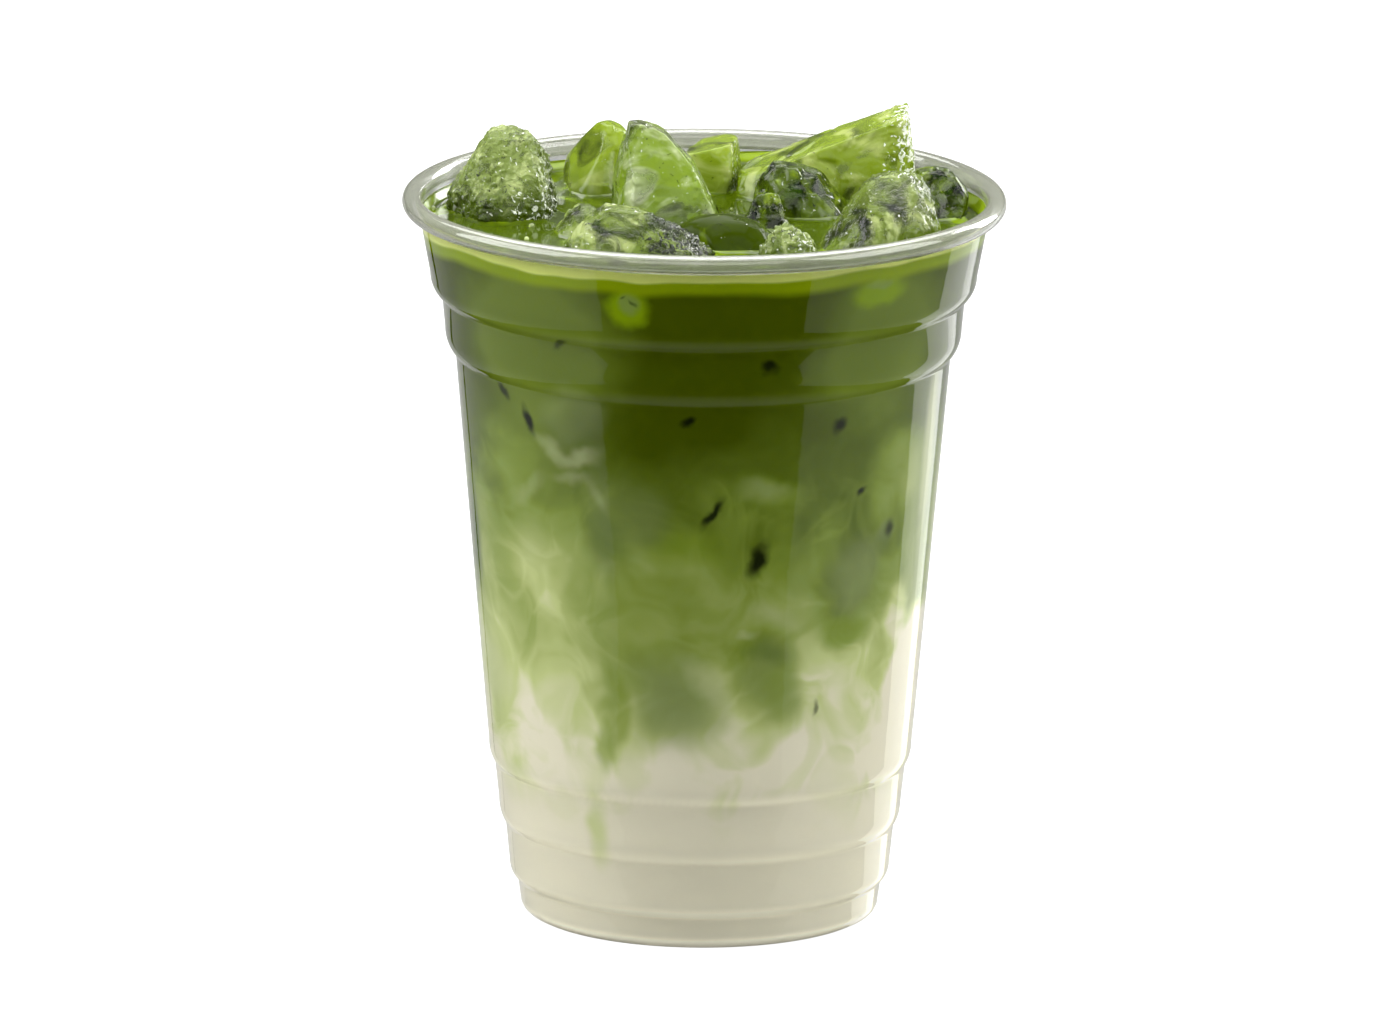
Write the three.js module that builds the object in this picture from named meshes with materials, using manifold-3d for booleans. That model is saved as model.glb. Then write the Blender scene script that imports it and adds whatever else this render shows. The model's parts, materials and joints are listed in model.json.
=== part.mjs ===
// Iced matcha latte in a clear 16 oz plastic cup: thin cup with a curled rim, milk below,
// a marbled layer above it, matcha on top, and broken ice standing out of the matcha.
// Millimetres, +Z up, origin at the centre of the cup's foot.
import * as THREE from "three";
import { mergeVertices } from "three/addons/utils/BufferGeometryUtils.js";
import Module from "manifold-3d";

const wasm = await Module();
wasm.setup();

// Cup
const RIM_RADIUS = 49;
const RIM_TOP = 119.5;
const RIM_WIDTH = 3.2;
const RIM_DEPTH = 3.2;
const CURL_END_DEG = -105;
const WALL = 0.5;
const FLOOR = 0.6;
const FOOT_RADIUS = 29.1;
const FOOT_ROUND = 3.1;
const FOOT_RING_INNER = 20.5;
const PUNT_RADIUS = 19;
const PUNT_RISE = 1.4;
const NECK_HEIGHT = 116.4;
const AROUND = 44;

// Stacking ledges, from the foot up: height and radius of the inward crease, how far the wall
// steps out above it, and the height that the step takes
const LEDGES = [
  { z: 5.6, r: 29.6, out: 1.3, rise: 2.6 },
  { z: 14.9, r: 31.6, out: 1.1, rise: 3.8 },
  { z: 25.0, r: 33.4, out: 1.0, rise: 3.6 },
  { z: 93, r: 40.15, out: 1.75, rise: 4.4 },
  { z: 102.5, r: 42.4, out: 1.95, rise: 3.8 },
];
const LEDGE_LIFT = 0.35;
const LEDGE_STEPS = 2;
const FOOT_STEPS = 3;

// Drink
const LEVEL = 114;
const CLEARANCE = 0.3;
const MILK_TOP = 33;
const MILK_RISE_TO_RIGHT = 9;
const MATCHA_BOTTOM = 79;
const MATCHA_DIP = 9;
const SWIRL_PITCH = 17;
const MILK_SWIRL = 4;
const MATCHA_SWIRL = 3.5;
const SURFACE_RINGS = 5;
const SURFACE_AROUND = 24;
const BLOCK_RADIUS = 60;
const BLOCK_FLOOR = -10;

// Ice. at: middle of the piece. size: across X and Y before the turn. span: lowest and highest point.
// taper: how much narrower the top is than the middle. lean: shift of the top. turn: degrees about Z.
// square: 0 round to 1 a sharp box. rise: how much higher the right end is than the left.
// chips: how many flat faces are broken off, where it isn't ICE_CHIPS.
const ICE = {
  ice_left_frosted: {
    at: [-33.0, 9.5], size: [18.6, 22], span: [103, 128.7],
    taper: 0.28, lean: [1.5, 0], turn: 12, square: 0.5, rise: 0,
  },
  ice_front_left: {
    at: [-9.7, -27.5], size: [29.5, 17], span: [104, 123.2],
    taper: 0.5, lean: [-1.2, 2], turn: 8, square: 0.6, rise: -3,
  },
  ice_front_dark: {
    at: [3, -15.2], size: [22, 17.5], span: [105, 119.4],
    taper: 0.3, lean: [0, 0], turn: -10, square: 0.3, rise: 0,
  },
  ice_front_small: {
    at: [13.9, -31], size: [10, 14], span: [106, 121],
    taper: 0.25, lean: [0, 1], turn: 30, square: 0.5, rise: 1,
  },
  ice_right_front: {
    at: [28.4, -15.5], size: [20.5, 25], span: [104, 126.7],
    taper: 0.42, lean: [1.5, 2], turn: -14, square: 0.6, rise: 2,
  },
  ice_middle_small: {
    at: [10.6, -1.6], size: [10.5, 9], span: [106, 119.8],
    taper: 0.3, lean: [0, 0], turn: 25, square: 0.4, rise: 0,
  },
  ice_middle_dark: {
    at: [15.8, 9], size: [17, 12.5], span: [104, 122.4],
    taper: 0.25, lean: [-1, 1], turn: -8, square: 0.7, rise: -2,
  },
  ice_middle_left: {
    at: [-18.6, -7], size: [14, 14.5], span: [104, 118.6],
    taper: 0.3, lean: [0, 1], turn: 22, square: 0.6, rise: 1,
  },
  ice_centre_tall: {
    at: [-4.7, 4.5], size: [20.4, 19], span: [103, 131.5],
    taper: 0.68, lean: [-4.4, 2], turn: 3, square: 1, rise: -2,
  },
  ice_back_left: {
    at: [-17.2, 27.5], size: [13.5, 17], span: [104, 125.3],
    taper: 0.5, lean: [1.6, 1], turn: 12, square: 0.85, rise: 1,
  },
  ice_back_centre: {
    at: [-0.2, 29.5], size: [12, 16], span: [104, 123],
    taper: 0.26, lean: [0.8, 0], turn: -8, square: 1, rise: 2,
  },
  ice_right_slab: {
    at: [18.9, 22], size: [31, 13], span: [99, 133.8],
    taper: 0.1, lean: [0.4, 2.5], turn: 3, square: 1, rise: 16, chips: 4,
  },
  ice_far_right: {
    at: [38.2, 10.5], size: [12.5, 19], span: [104, 121.4],
    taper: 0.3, lean: [-1, 0], turn: 14, square: 0.6, rise: 0,
  },
  ice_back_right: {
    at: [17, 36], size: [17, 9.5], span: [104, 119.4],
    taper: 0.3, lean: [0, 0], turn: -22, square: 0.7, rise: 0,
  },
};
const ICE_DETAIL = 1;
const ICE_BOX_DETAIL = 3;
const ICE_GAP = 0.5;
const ICE_UNEVEN = 0.06;
const ICE_WALL_GAP = 0.8;
const ICE_CHIPS = 5;
const ICE_CHIP_DEPTH = 0.07;
const GOLDEN_ANGLE = Math.PI * (3 - Math.sqrt(5));

// Turns a closed three.js geometry into a manifold-3d solid.
function solidOf(geometry) {
  const bare = geometry.clone();
  for (const name of Object.keys(bare.attributes)) {
    if (name !== "position") bare.deleteAttribute(name);
  }
  const merged = mergeVertices(bare, 1e-4);
  const mesh = new wasm.Mesh({
    numProp: 3,
    vertProperties: new Float32Array(merged.attributes.position.array),
    triVerts: new Uint32Array(merged.index.array),
  });
  return new wasm.Manifold(mesh);
}

// Turns a manifold-3d solid back into a three.js geometry.
function geometryOf(solid) {
  const mesh = solid.getMesh();
  const geometry = new THREE.BufferGeometry();
  geometry.setAttribute("position", new THREE.BufferAttribute(new Float32Array(mesh.vertProperties), 3));
  geometry.setIndex(new THREE.BufferAttribute(new Uint32Array(mesh.triVerts), 1));
  geometry.computeVertexNormals();
  return geometry;
}

// The largest body of a solid, without loose scraps.
function largestBody(solid) {
  const bodies = solid.decompose();
  return bodies.reduce((best, body) => (body.volume() > best.volume() ? body : best));
}

// Turns a profile of (radius, height) points about the Z axis.
function lathe(points) {
  const geometry = new THREE.LatheGeometry(points, AROUND);
  return geometry.rotateX(Math.PI / 2);
}

// The wall's line from the foot's edge to the neck, moved in by a thickness.
function wallLine(inset, footHeight, topHeight) {
  const path = new THREE.Path();
  path.moveTo(FOOT_RADIUS - FOOT_ROUND, footHeight);
  path.quadraticCurveTo(FOOT_RADIUS - inset, footHeight, FOOT_RADIUS - inset, footHeight + FOOT_ROUND * 0.7);
  const points = path.getPoints(FOOT_STEPS);
  for (const ledge of LEDGES) {
    const step = new THREE.QuadraticBezierCurve(
      new THREE.Vector2(ledge.r - inset, ledge.z),
      new THREE.Vector2(ledge.r + ledge.out - inset, ledge.z + ledge.rise * LEDGE_LIFT),
      new THREE.Vector2(ledge.r + ledge.out - inset, ledge.z + ledge.rise),
    );
    points.push(...step.getPoints(LEDGE_STEPS));
  }
  points.push(new THREE.Vector2(neckRadius(topHeight) - inset, topHeight));
  return points;
}

// Outer radius of the top band at a height, from its upper ledge to the rim's inner side.
function neckRadius(height) {
  const last = LEDGES[LEDGES.length - 1];
  const low = last.z + last.rise;
  const neck = RIM_RADIUS - RIM_WIDTH + WALL;
  return THREE.MathUtils.mapLinear(height, low, NECK_HEIGHT, last.r + last.out, neck);
}

// An arc of the rim's curl, from one angle to another, on the outside or the inside of the sheet.
function curlArc(inset, fromDeg, toDeg, steps) {
  const centre = new THREE.Vector2(RIM_RADIUS - RIM_WIDTH / 2, RIM_TOP - RIM_DEPTH / 2);
  const points = [];
  for (let i = 0; i <= steps; i++) {
    const angle = THREE.MathUtils.degToRad(THREE.MathUtils.lerp(fromDeg, toDeg, i / steps));
    const along = (RIM_WIDTH / 2 - inset) * Math.cos(angle);
    const up = (RIM_DEPTH / 2 - inset) * Math.sin(angle);
    points.push(new THREE.Vector2(centre.x + along, centre.y + up));
  }
  return points;
}

// The cup: foot with a shallow punt, ledges, and a rim curled outwards, open underneath.
function cup() {
  const outside = [
    new THREE.Vector2(0, PUNT_RISE),
    new THREE.Vector2(PUNT_RADIUS, PUNT_RISE),
    new THREE.Vector2(FOOT_RING_INNER, 0),
    ...wallLine(0, 0, NECK_HEIGHT),
    ...curlArc(WALL, 180, CURL_END_DEG, 7),
  ];
  const inside = [
    new THREE.Vector2(0, PUNT_RISE + FLOOR),
    new THREE.Vector2(PUNT_RADIUS, PUNT_RISE + FLOOR),
    new THREE.Vector2(FOOT_RING_INNER, FLOOR),
    ...wallLine(WALL, FLOOR, NECK_HEIGHT),
    ...curlArc(0, 180, CURL_END_DEG, 9),
  ];
  return lathe([...outside, ...inside.reverse()]);
}

// Everything that the cup holds up to the drink's level, clear of its wall.
function drink() {
  const inset = WALL + CLEARANCE;
  const bottom = FLOOR + CLEARANCE;
  const points = [
    new THREE.Vector2(0, PUNT_RISE + bottom),
    new THREE.Vector2(PUNT_RADIUS, PUNT_RISE + bottom),
    new THREE.Vector2(FOOT_RING_INNER, bottom),
    ...wallLine(inset, bottom, LEVEL),
    new THREE.Vector2(0, LEVEL),
  ];
  return solidOf(lathe(points));
}

// Where the milk ends: higher on the right, with tongues that hang down.
function milkTop(x, y) {
  const swirl = Math.sin(x / SWIRL_PITCH * 2.3 + y / SWIRL_PITCH) * Math.cos(y / SWIRL_PITCH * 1.7 - 0.6);
  return MILK_TOP + MILK_RISE_TO_RIGHT * Math.tanh(x / SWIRL_PITCH) + MILK_SWIRL * swirl;
}

// Where the unmixed matcha starts: lowest along the middle of the front.
function matchaBottom(x, y) {
  const swirl = Math.sin(x / SWIRL_PITCH * 1.6 - y / SWIRL_PITCH * 1.3 + 0.9);
  const dip = Math.exp(-((x / SWIRL_PITCH) ** 2)) * (y < 0 ? 1 : 0.4);
  return MATCHA_BOTTOM - MATCHA_DIP * dip + MATCHA_SWIRL * swirl;
}

// A round block whose top follows a height function, to cut the drink into its layers.
function blockUpTo(heightAt) {
  const vertices = [];
  const faces = [];
  const corner = (ring, k) => (ring === 0 ? 0 : 1 + (ring - 1) * SURFACE_AROUND + (k % SURFACE_AROUND));
  const addPoint = (radius, k, lift) => {
    const angle = (k / SURFACE_AROUND) * 2 * Math.PI;
    const x = radius * Math.cos(angle);
    const y = radius * Math.sin(angle);
    vertices.push(x, y, lift === undefined ? heightAt(x, y) : lift);
  };
  addPoint(0, 0);
  for (let ring = 1; ring <= SURFACE_RINGS; ring++) {
    for (let k = 0; k < SURFACE_AROUND; k++) addPoint((BLOCK_RADIUS * ring) / SURFACE_RINGS, k);
  }
  const below = vertices.length / 3;
  for (let k = 0; k < SURFACE_AROUND; k++) addPoint(BLOCK_RADIUS, k, BLOCK_FLOOR);
  const middle = vertices.length / 3;
  addPoint(0, 0, BLOCK_FLOOR);
  for (let k = 0; k < SURFACE_AROUND; k++) {
    faces.push(0, corner(1, k), corner(1, k + 1));
    for (let ring = 1; ring < SURFACE_RINGS; ring++) {
      const [a, b] = [corner(ring, k), corner(ring, k + 1)];
      const [c, d] = [corner(ring + 1, k), corner(ring + 1, k + 1)];
      faces.push(a, c, d, a, d, b);
    }
    const [top, nextTop] = [corner(SURFACE_RINGS, k), corner(SURFACE_RINGS, k + 1)];
    const [low, nextLow] = [below + k, below + ((k + 1) % SURFACE_AROUND)];
    faces.push(top, low, nextLow, top, nextLow, nextTop, middle, nextLow, low);
  }
  const geometry = new THREE.BufferGeometry();
  geometry.setAttribute("position", new THREE.BufferAttribute(new Float32Array(vertices), 3));
  geometry.setIndex(faces);
  return solidOf(geometry);
}

// A small repeatable noise, smooth over the surface of a piece of ice.
function uneven(direction, seed) {
  const wave = (k) => Math.sin(3.1 * direction.getComponent(k) * (1 + 0.3 * k) + seed * (1.7 + k));
  return (wave(0) + wave(1) + wave(2)) / 3;
}

// A box with corners for the sharp pieces of ice, and a ball for the others.
function startingShape(square) {
  if (square < 1) return new THREE.IcosahedronGeometry(1, ICE_DETAIL);
  return new THREE.BoxGeometry(2, 2, 2, ICE_BOX_DETAIL, ICE_BOX_DETAIL, ICE_BOX_DETAIL);
}

// One piece of ice before it is chipped and parted from its neighbours.
function iceGeometry(piece, seed) {
  const geometry = startingShape(piece.square);
  const position = geometry.attributes.position;
  const [width, depth] = piece.size;
  const [foot, top] = piece.span;
  const height = top - foot;
  const point = new THREE.Vector3();
  const direction = new THREE.Vector3();
  for (let i = 0; i < position.count; i++) {
    direction.fromBufferAttribute(position, i).normalize();
    const largest = Math.max(Math.abs(direction.x), Math.abs(direction.y), Math.abs(direction.z));
    const toBox = THREE.MathUtils.lerp(1, 1 / largest, piece.square);
    point.copy(direction).multiplyScalar(toBox * (1 + ICE_UNEVEN * uneven(direction, seed)));
    const upper = THREE.MathUtils.clamp(point.z, 0, 1);
    const narrow = 1 - piece.taper * upper;
    const along = point.x;
    point.x = (along * narrow * width) / 2 + piece.lean[0] * upper;
    point.y = (point.y * narrow * depth) / 2 + piece.lean[1] * upper;
    point.z = (point.z * height + along * piece.rise) / 2;
    position.setXYZ(i, point.x, point.y, point.z);
  }
  geometry.rotateZ(THREE.MathUtils.degToRad(piece.turn));
  geometry.computeBoundingBox();
  const box = geometry.boundingBox;
  const scale = height / (box.max.z - box.min.z);
  geometry.scale(1, 1, scale);
  geometry.translate(piece.at[0], piece.at[1], foot - box.min.z * scale);
  return geometry;
}

// Breaks flat faces off a piece, in directions spread around its upper side.
function chipped(solid, seed, chips = ICE_CHIPS) {
  let piece = solid;
  for (let k = 0; k < chips; k++) {
    const up = THREE.MathUtils.lerp(-0.1, 0.6, k / (ICE_CHIPS - 1));
    const angle = k * GOLDEN_ANGLE + seed * 1.3;
    const level = Math.sqrt(1 - up * up);
    const outwards = new THREE.Vector3(level * Math.cos(angle), level * Math.sin(angle), up);
    const inwards = outwards.clone().negate();
    const reach = reachAlong(piece, outwards);
    const across = reach + reachAlong(piece, inwards);
    piece = piece.trimByPlane(inwards.toArray(), across * ICE_CHIP_DEPTH - reach);
  }
  return piece;
}

// The middle of a solid's box.
function middleOf(solid) {
  const box = solid.boundingBox();
  const low = new THREE.Vector3(...box.min);
  return low.add(new THREE.Vector3(...box.max)).multiplyScalar(0.5);
}

// How far a solid reaches along a direction.
function reachAlong(solid, direction) {
  const { vertProperties, numVert, numProp } = solid.getMesh();
  let reach = -Infinity;
  for (let i = 0; i < numVert; i++) {
    const at = new THREE.Vector3().fromArray(vertProperties, i * numProp);
    reach = Math.max(reach, at.dot(direction));
  }
  return reach;
}

// Two pieces that meet are cut back from the plane halfway through what they share.
function partPieces(first, second) {
  if (first.minGap(second, 2 * ICE_GAP) >= ICE_GAP) return [first, second];
  const across = middleOf(second).sub(middleOf(first)).normalize();
  const back = across.clone().negate();
  const shared = (reachAlong(first, across) - reachAlong(second, back)) / 2;
  return [
    first.trimByPlane(back.toArray(), -(shared - ICE_GAP / 2)),
    second.trimByPlane(across.toArray(), shared + ICE_GAP / 2),
  ];
}

// Inside of the cup above the ledges, which the ice stays clear of.
function iceRoom() {
  const inset = WALL + ICE_WALL_GAP;
  const neck = new THREE.Vector2(RIM_RADIUS - RIM_WIDTH - ICE_WALL_GAP, NECK_HEIGHT);
  const points = [new THREE.Vector2(0, 0), ...wallLine(inset, 0, NECK_HEIGHT)];
  points.push(neck, new THREE.Vector2(neck.x, 2 * NECK_HEIGHT), new THREE.Vector2(0, 2 * NECK_HEIGHT));
  return solidOf(lathe(points));
}

// All pieces of ice by name, each clear of the others and of the cup.
function iceSolids() {
  const names = Object.keys(ICE);
  const room = iceRoom();
  const wholePiece = (name, i) => chipped(solidOf(iceGeometry(ICE[name], i + 1)), i + 1, ICE[name].chips);
  const solids = names.map((name, i) => wholePiece(name, i).intersect(room));
  for (let i = 0; i < solids.length; i++) {
    for (let j = i + 1; j < solids.length; j++) {
      [solids[i], solids[j]] = partPieces(solids[i], solids[j]);
    }
  }
  return names.map((name, i) => [name, largestBody(solids[i])]);
}

// The hollow that a piece of ice leaves in the drink, clear of it on every side.
function hollowFor(solid) {
  const middle = middleOf(solid);
  const { vertProperties, triVerts, numProp } = solid.getMesh();
  const triangle = new THREE.Triangle();
  const plane = new THREE.Plane();
  const at = (i, target) => target.fromArray(vertProperties, triVerts[i] * numProp);
  let nearest = Infinity;
  for (let i = 0; i < triVerts.length; i += 3) {
    at(i, triangle.a);
    at(i + 1, triangle.b);
    at(i + 2, triangle.c);
    triangle.getPlane(plane);
    nearest = Math.min(nearest, Math.abs(plane.distanceToPoint(middle)));
  }
  const grow = 1 + CLEARANCE / nearest;
  const back = middle.clone().multiplyScalar(1 - grow);
  return solid.scale([grow, grow, grow]).translate(back.toArray());
}

const clearPlastic = new THREE.MeshStandardMaterial({
  color: 0xf2f4f2,
  roughness: 0.06,
  metalness: 0,
  transparent: true,
  opacity: 0.3,
});
const milkFinish = new THREE.MeshStandardMaterial({ color: 0xd9d3bd, roughness: 0.3, metalness: 0 });
const marbledFinish = new THREE.MeshStandardMaterial({ color: 0x94a35a, roughness: 0.3, metalness: 0 });
const matchaFinish = new THREE.MeshStandardMaterial({ color: 0x4f6317, roughness: 0.25, metalness: 0 });
const iceFinish = new THREE.MeshStandardMaterial({
  color: 0xb9cc7e,
  roughness: 0.08,
  metalness: 0,
  transparent: true,
  opacity: 0.6,
});

const latte = new THREE.Group();
latte.name = "iced_matcha_latte";

function add(name, geometry, material) {
  const mesh = new THREE.Mesh(geometry, material);
  mesh.name = name;
  latte.add(mesh);
}

const lift = (heightAt) => (x, y) => heightAt(x, y) + CLEARANCE;
const whole = drink();
const ice = iceSolids();
const milk = whole.intersect(blockUpTo(milkTop));
const marbled = whole.subtract(blockUpTo(lift(milkTop))).intersect(blockUpTo(matchaBottom));
let matcha = whole.subtract(blockUpTo(lift(matchaBottom)));
for (const [, solid] of ice) matcha = matcha.subtract(hollowFor(solid));

add("cup", cup(), clearPlastic);
add("milk", geometryOf(largestBody(milk)), milkFinish);
add("marbled_latte", geometryOf(largestBody(marbled)), marbledFinish);
add("matcha", geometryOf(largestBody(matcha)), matchaFinish);
for (const [name, solid] of ice) add(name, geometryOf(solid), iceFinish);

export default latte;
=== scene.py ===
"""Iced matcha latte in a clear stepped cup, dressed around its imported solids.

The cup, the three layers of the drink, the ice that stands out of it and the bubbles on it are
built here, with a plain white studio. Sizes in the classes are millimetres, meshes are metres.
"""

from __future__ import annotations

import json
import logging
import math
import random
from bisect import bisect_right
from collections.abc import Callable, Sequence
from dataclasses import dataclass, field
from enum import Enum
from functools import cached_property
from operator import itemgetter
from typing import Any

import bmesh
import bpy
from mathutils import Matrix, Vector, noise
from mathutils.kdtree import KDTree

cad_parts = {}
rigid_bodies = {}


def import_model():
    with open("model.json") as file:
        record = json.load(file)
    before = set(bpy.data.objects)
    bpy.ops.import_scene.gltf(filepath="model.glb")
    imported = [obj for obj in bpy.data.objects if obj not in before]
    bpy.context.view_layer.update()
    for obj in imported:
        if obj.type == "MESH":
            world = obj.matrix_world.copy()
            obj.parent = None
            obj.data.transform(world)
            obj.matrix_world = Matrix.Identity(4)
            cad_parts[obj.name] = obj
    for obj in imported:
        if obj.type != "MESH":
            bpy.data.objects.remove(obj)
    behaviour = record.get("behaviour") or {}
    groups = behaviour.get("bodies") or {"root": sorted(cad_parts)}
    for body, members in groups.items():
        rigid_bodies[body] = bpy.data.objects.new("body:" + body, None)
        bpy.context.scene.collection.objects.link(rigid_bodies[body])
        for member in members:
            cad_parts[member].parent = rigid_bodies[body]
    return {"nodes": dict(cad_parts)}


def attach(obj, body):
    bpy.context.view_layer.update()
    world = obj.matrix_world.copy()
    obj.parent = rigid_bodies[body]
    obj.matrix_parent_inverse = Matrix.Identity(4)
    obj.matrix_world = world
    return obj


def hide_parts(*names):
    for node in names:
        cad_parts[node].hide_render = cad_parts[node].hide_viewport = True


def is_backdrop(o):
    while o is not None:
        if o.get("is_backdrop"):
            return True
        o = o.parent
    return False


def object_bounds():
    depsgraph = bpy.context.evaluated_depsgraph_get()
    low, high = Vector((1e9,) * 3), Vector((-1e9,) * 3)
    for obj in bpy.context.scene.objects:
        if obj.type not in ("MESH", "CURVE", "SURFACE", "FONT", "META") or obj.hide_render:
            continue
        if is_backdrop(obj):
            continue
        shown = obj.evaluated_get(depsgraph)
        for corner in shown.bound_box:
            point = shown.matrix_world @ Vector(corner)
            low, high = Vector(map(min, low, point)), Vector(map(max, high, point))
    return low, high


LOG = logging.getLogger("iced_latte")
MM = 0.001
BODY = "root"
SHARP = math.radians(50.0)
FROST = "frost"
SCATTER = 91.7
Colour = tuple[float, float, float, float]
Height = Callable[[float, float], float]


def srgb(red: float, green: float, blue: float) -> Colour:
    """Turns a colour from 0 to 255 as a screen shows it into linear light.

    Args:
        red: Red of the colour on a screen.
        green: Green of the colour on a screen.
        blue: Blue of the colour on a screen.

    Returns:
        The linear colour with full alpha.
    """
    parts = [c / 255.0 for c in (red, green, blue)]
    linear = [p / 12.92 if p <= 0.04045 else ((p + 0.055) / 1.055) ** 2.4 for p in parts]
    return (linear[0], linear[1], linear[2], 1.0)


def lerp(low: float, high: float, share: float) -> float:
    """Returns the value a share of the way from low to high."""
    return low + (high - low) * share


class Value:
    """A number in a node tree, with arithmetic that adds Math nodes."""

    def __init__(self, graph: Graph, socket: bpy.types.NodeSocket) -> None:
        """Wraps an output socket of the graph."""
        self.graph = graph
        self.socket = socket

    def math(self, operation: str, *others: Value | float) -> Value:
        """Adds one Math node.

        Args:
            operation: Name of the Math node's operation.
            *others: Second and third operand.

        Returns:
            The result.
        """
        inputs: dict[int | str, Any] = {0: self}
        inputs.update(enumerate(others, start=1))
        node = self.graph.node("ShaderNodeMath", {"operation": operation}, inputs)
        return Value(self.graph, node.outputs[0])

    def __add__(self, other: Value | float) -> Value:
        """Returns self + other."""
        return self.math("ADD", other)

    def __sub__(self, other: Value | float) -> Value:
        """Returns self - other."""
        return self.math("SUBTRACT", other)

    def __mul__(self, other: Value | float) -> Value:
        """Returns self * other."""
        return self.math("MULTIPLY", other)

    def smooth(self, low: float, high: float, gain: float = 1.0) -> Value:
        """Adds a soft step, which goes down where low is the larger.

        Args:
            low: Where the step starts, at 0.
            high: Where it ends.
            gain: Its value there.

        Returns:
            The step's value.
        """
        node = self.graph.node(
            "ShaderNodeMapRange",
            {"interpolation_type": "SMOOTHSTEP"},
            {"Value": self, "From Min": low, "From Max": high, "To Max": gain},
        )
        return Value(self.graph, node.outputs["Result"])


class Graph:
    """The node tree of one material or of the world."""

    def __init__(self, tree: bpy.types.NodeTree) -> None:
        """Empties the tree and keeps it."""
        self.tree = tree
        tree.nodes.clear()

    def node(
        self,
        kind: str,
        settings: dict[str, Any] | None = None,
        inputs: dict[int | str, Any] | None = None,
    ) -> bpy.types.Node:
        """Adds a node.

        Args:
            kind: The node's type.
            settings: The node's own settings, set first. "stops" are a ramp's places and colours.
            inputs: A value or a link for each socket, by name or number.

        Returns:
            The new node.
        """
        node = self.tree.nodes.new(kind)
        for name, value in (settings or {}).items():
            if name == "stops":
                self.set_stops(node.color_ramp, value)
            else:
                setattr(node, name, value)
        for name, value in (inputs or {}).items():
            socket = node.inputs[name]
            if isinstance(value, Value):
                self.tree.links.new(value.socket, socket)
            elif isinstance(value, bpy.types.NodeSocket):
                self.tree.links.new(value, socket)
            else:
                socket.default_value = value
        return node

    @staticmethod
    def set_stops(ramp: bpy.types.ColorRamp, stops: Sequence[tuple[float, Colour]]) -> None:
        """Gives a colour ramp its stops.

        Args:
            ramp: The ramp.
            stops: Place and colour of each stop.
        """
        while len(ramp.elements) < len(stops):
            ramp.elements.new(1.0)
        for element, (place, colour) in zip(ramp.elements, stops):
            element.position = place
            element.color = colour

    def value(self, socket: bpy.types.NodeSocket) -> Value:
        """Wraps a socket as a number."""
        return Value(self, socket)

    def mix(self, share: Value | float, first: Any, second: Any) -> bpy.types.NodeSocket:
        """Mixes two colours.

        Args:
            share: 0 for the first colour, 1 for the second.
            first: Colour or link.
            second: Colour or link.

        Returns:
            The mixed colour's socket.
        """
        inputs = {0: share, 6: first, 7: second}
        return self.node("ShaderNodeMix", {"data_type": "RGBA"}, inputs).outputs[2]

    def millimetres(self) -> bpy.types.NodeSocket:
        """Returns the Object coordinates in millimetres."""
        place = self.node("ShaderNodeTexCoord").outputs["Object"]
        scaled = self.node("ShaderNodeVectorMath", {"operation": "SCALE"}, {0: place, "Scale": 1 / MM})
        return scaled.outputs[0]

    def noise(self, place: Any, size: float, detail: float = 2.0, twist: float = 0.0) -> bpy.types.Node:
        """Adds a noise whose features are about a size in millimetres.

        Args:
            place: Socket with the place in millimetres.
            size: Size of the largest features.
            detail: Number of finer octaves.
            twist: How much the noise is distorted.

        Returns:
            The noise node.
        """
        inputs = {"Vector": place, "Scale": 1 / size, "Detail": detail, "Distortion": twist}
        return self.node("ShaderNodeTexNoise", {}, inputs)

    def noise_value(self, place: Any, size: float, detail: float, twist: float = 0.0) -> Value:
        """Returns a noise as a number from about 0 to 1."""
        return self.value(self.noise(place, size, detail, twist).outputs["Fac"])

    def part(self, vector: Any, name: str) -> Value:
        """Returns the X, Y or Z part of a vector."""
        return self.value(self.node("ShaderNodeSeparateXYZ", {}, {0: vector}).outputs[name])

    def vector(self, operation: str, *operands: Any) -> bpy.types.NodeSocket:
        """Returns what one Vector Math node makes of its operands."""
        inputs = dict(enumerate(operands))
        return self.node("ShaderNodeVectorMath", {"operation": operation}, inputs).outputs[0]

    def principled(self, inputs: dict[int | str, Any]) -> bpy.types.Node:
        """Adds a Principled shader."""
        return self.node("ShaderNodeBsdfPrincipled", {}, inputs)

    def blend(self, share: Value, first: bpy.types.Node, second: bpy.types.Node) -> bpy.types.Node:
        """Mixes two shaders: the first one where the share is 0, the second where it is 1."""
        inputs = {0: share, 1: first.outputs[0], 2: second.outputs[0]}
        return self.node("ShaderNodeMixShader", {}, inputs)

    def bump(self, height: Value, strength: float, distance: float) -> bpy.types.NodeSocket:
        """Returns a normal bent by a height, over a distance in millimetres."""
        inputs = {"Height": height, "Strength": strength, "Distance": distance * MM}
        return self.node("ShaderNodeBump", {}, inputs).outputs[0]

    def finish(self, shader: bpy.types.Node) -> None:
        """Links the shader to the material's output."""
        self.node("ShaderNodeOutputMaterial", {}, {"Surface": shader.outputs[0]})


def new_material(name: str) -> tuple[bpy.types.Material, Graph]:
    """Makes an empty node material.

    Args:
        name: The material's name.

    Returns:
        The material and its graph.
    """
    material = bpy.data.materials.new(name)
    material.use_nodes = True
    return material, Graph(material.node_tree)


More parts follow.
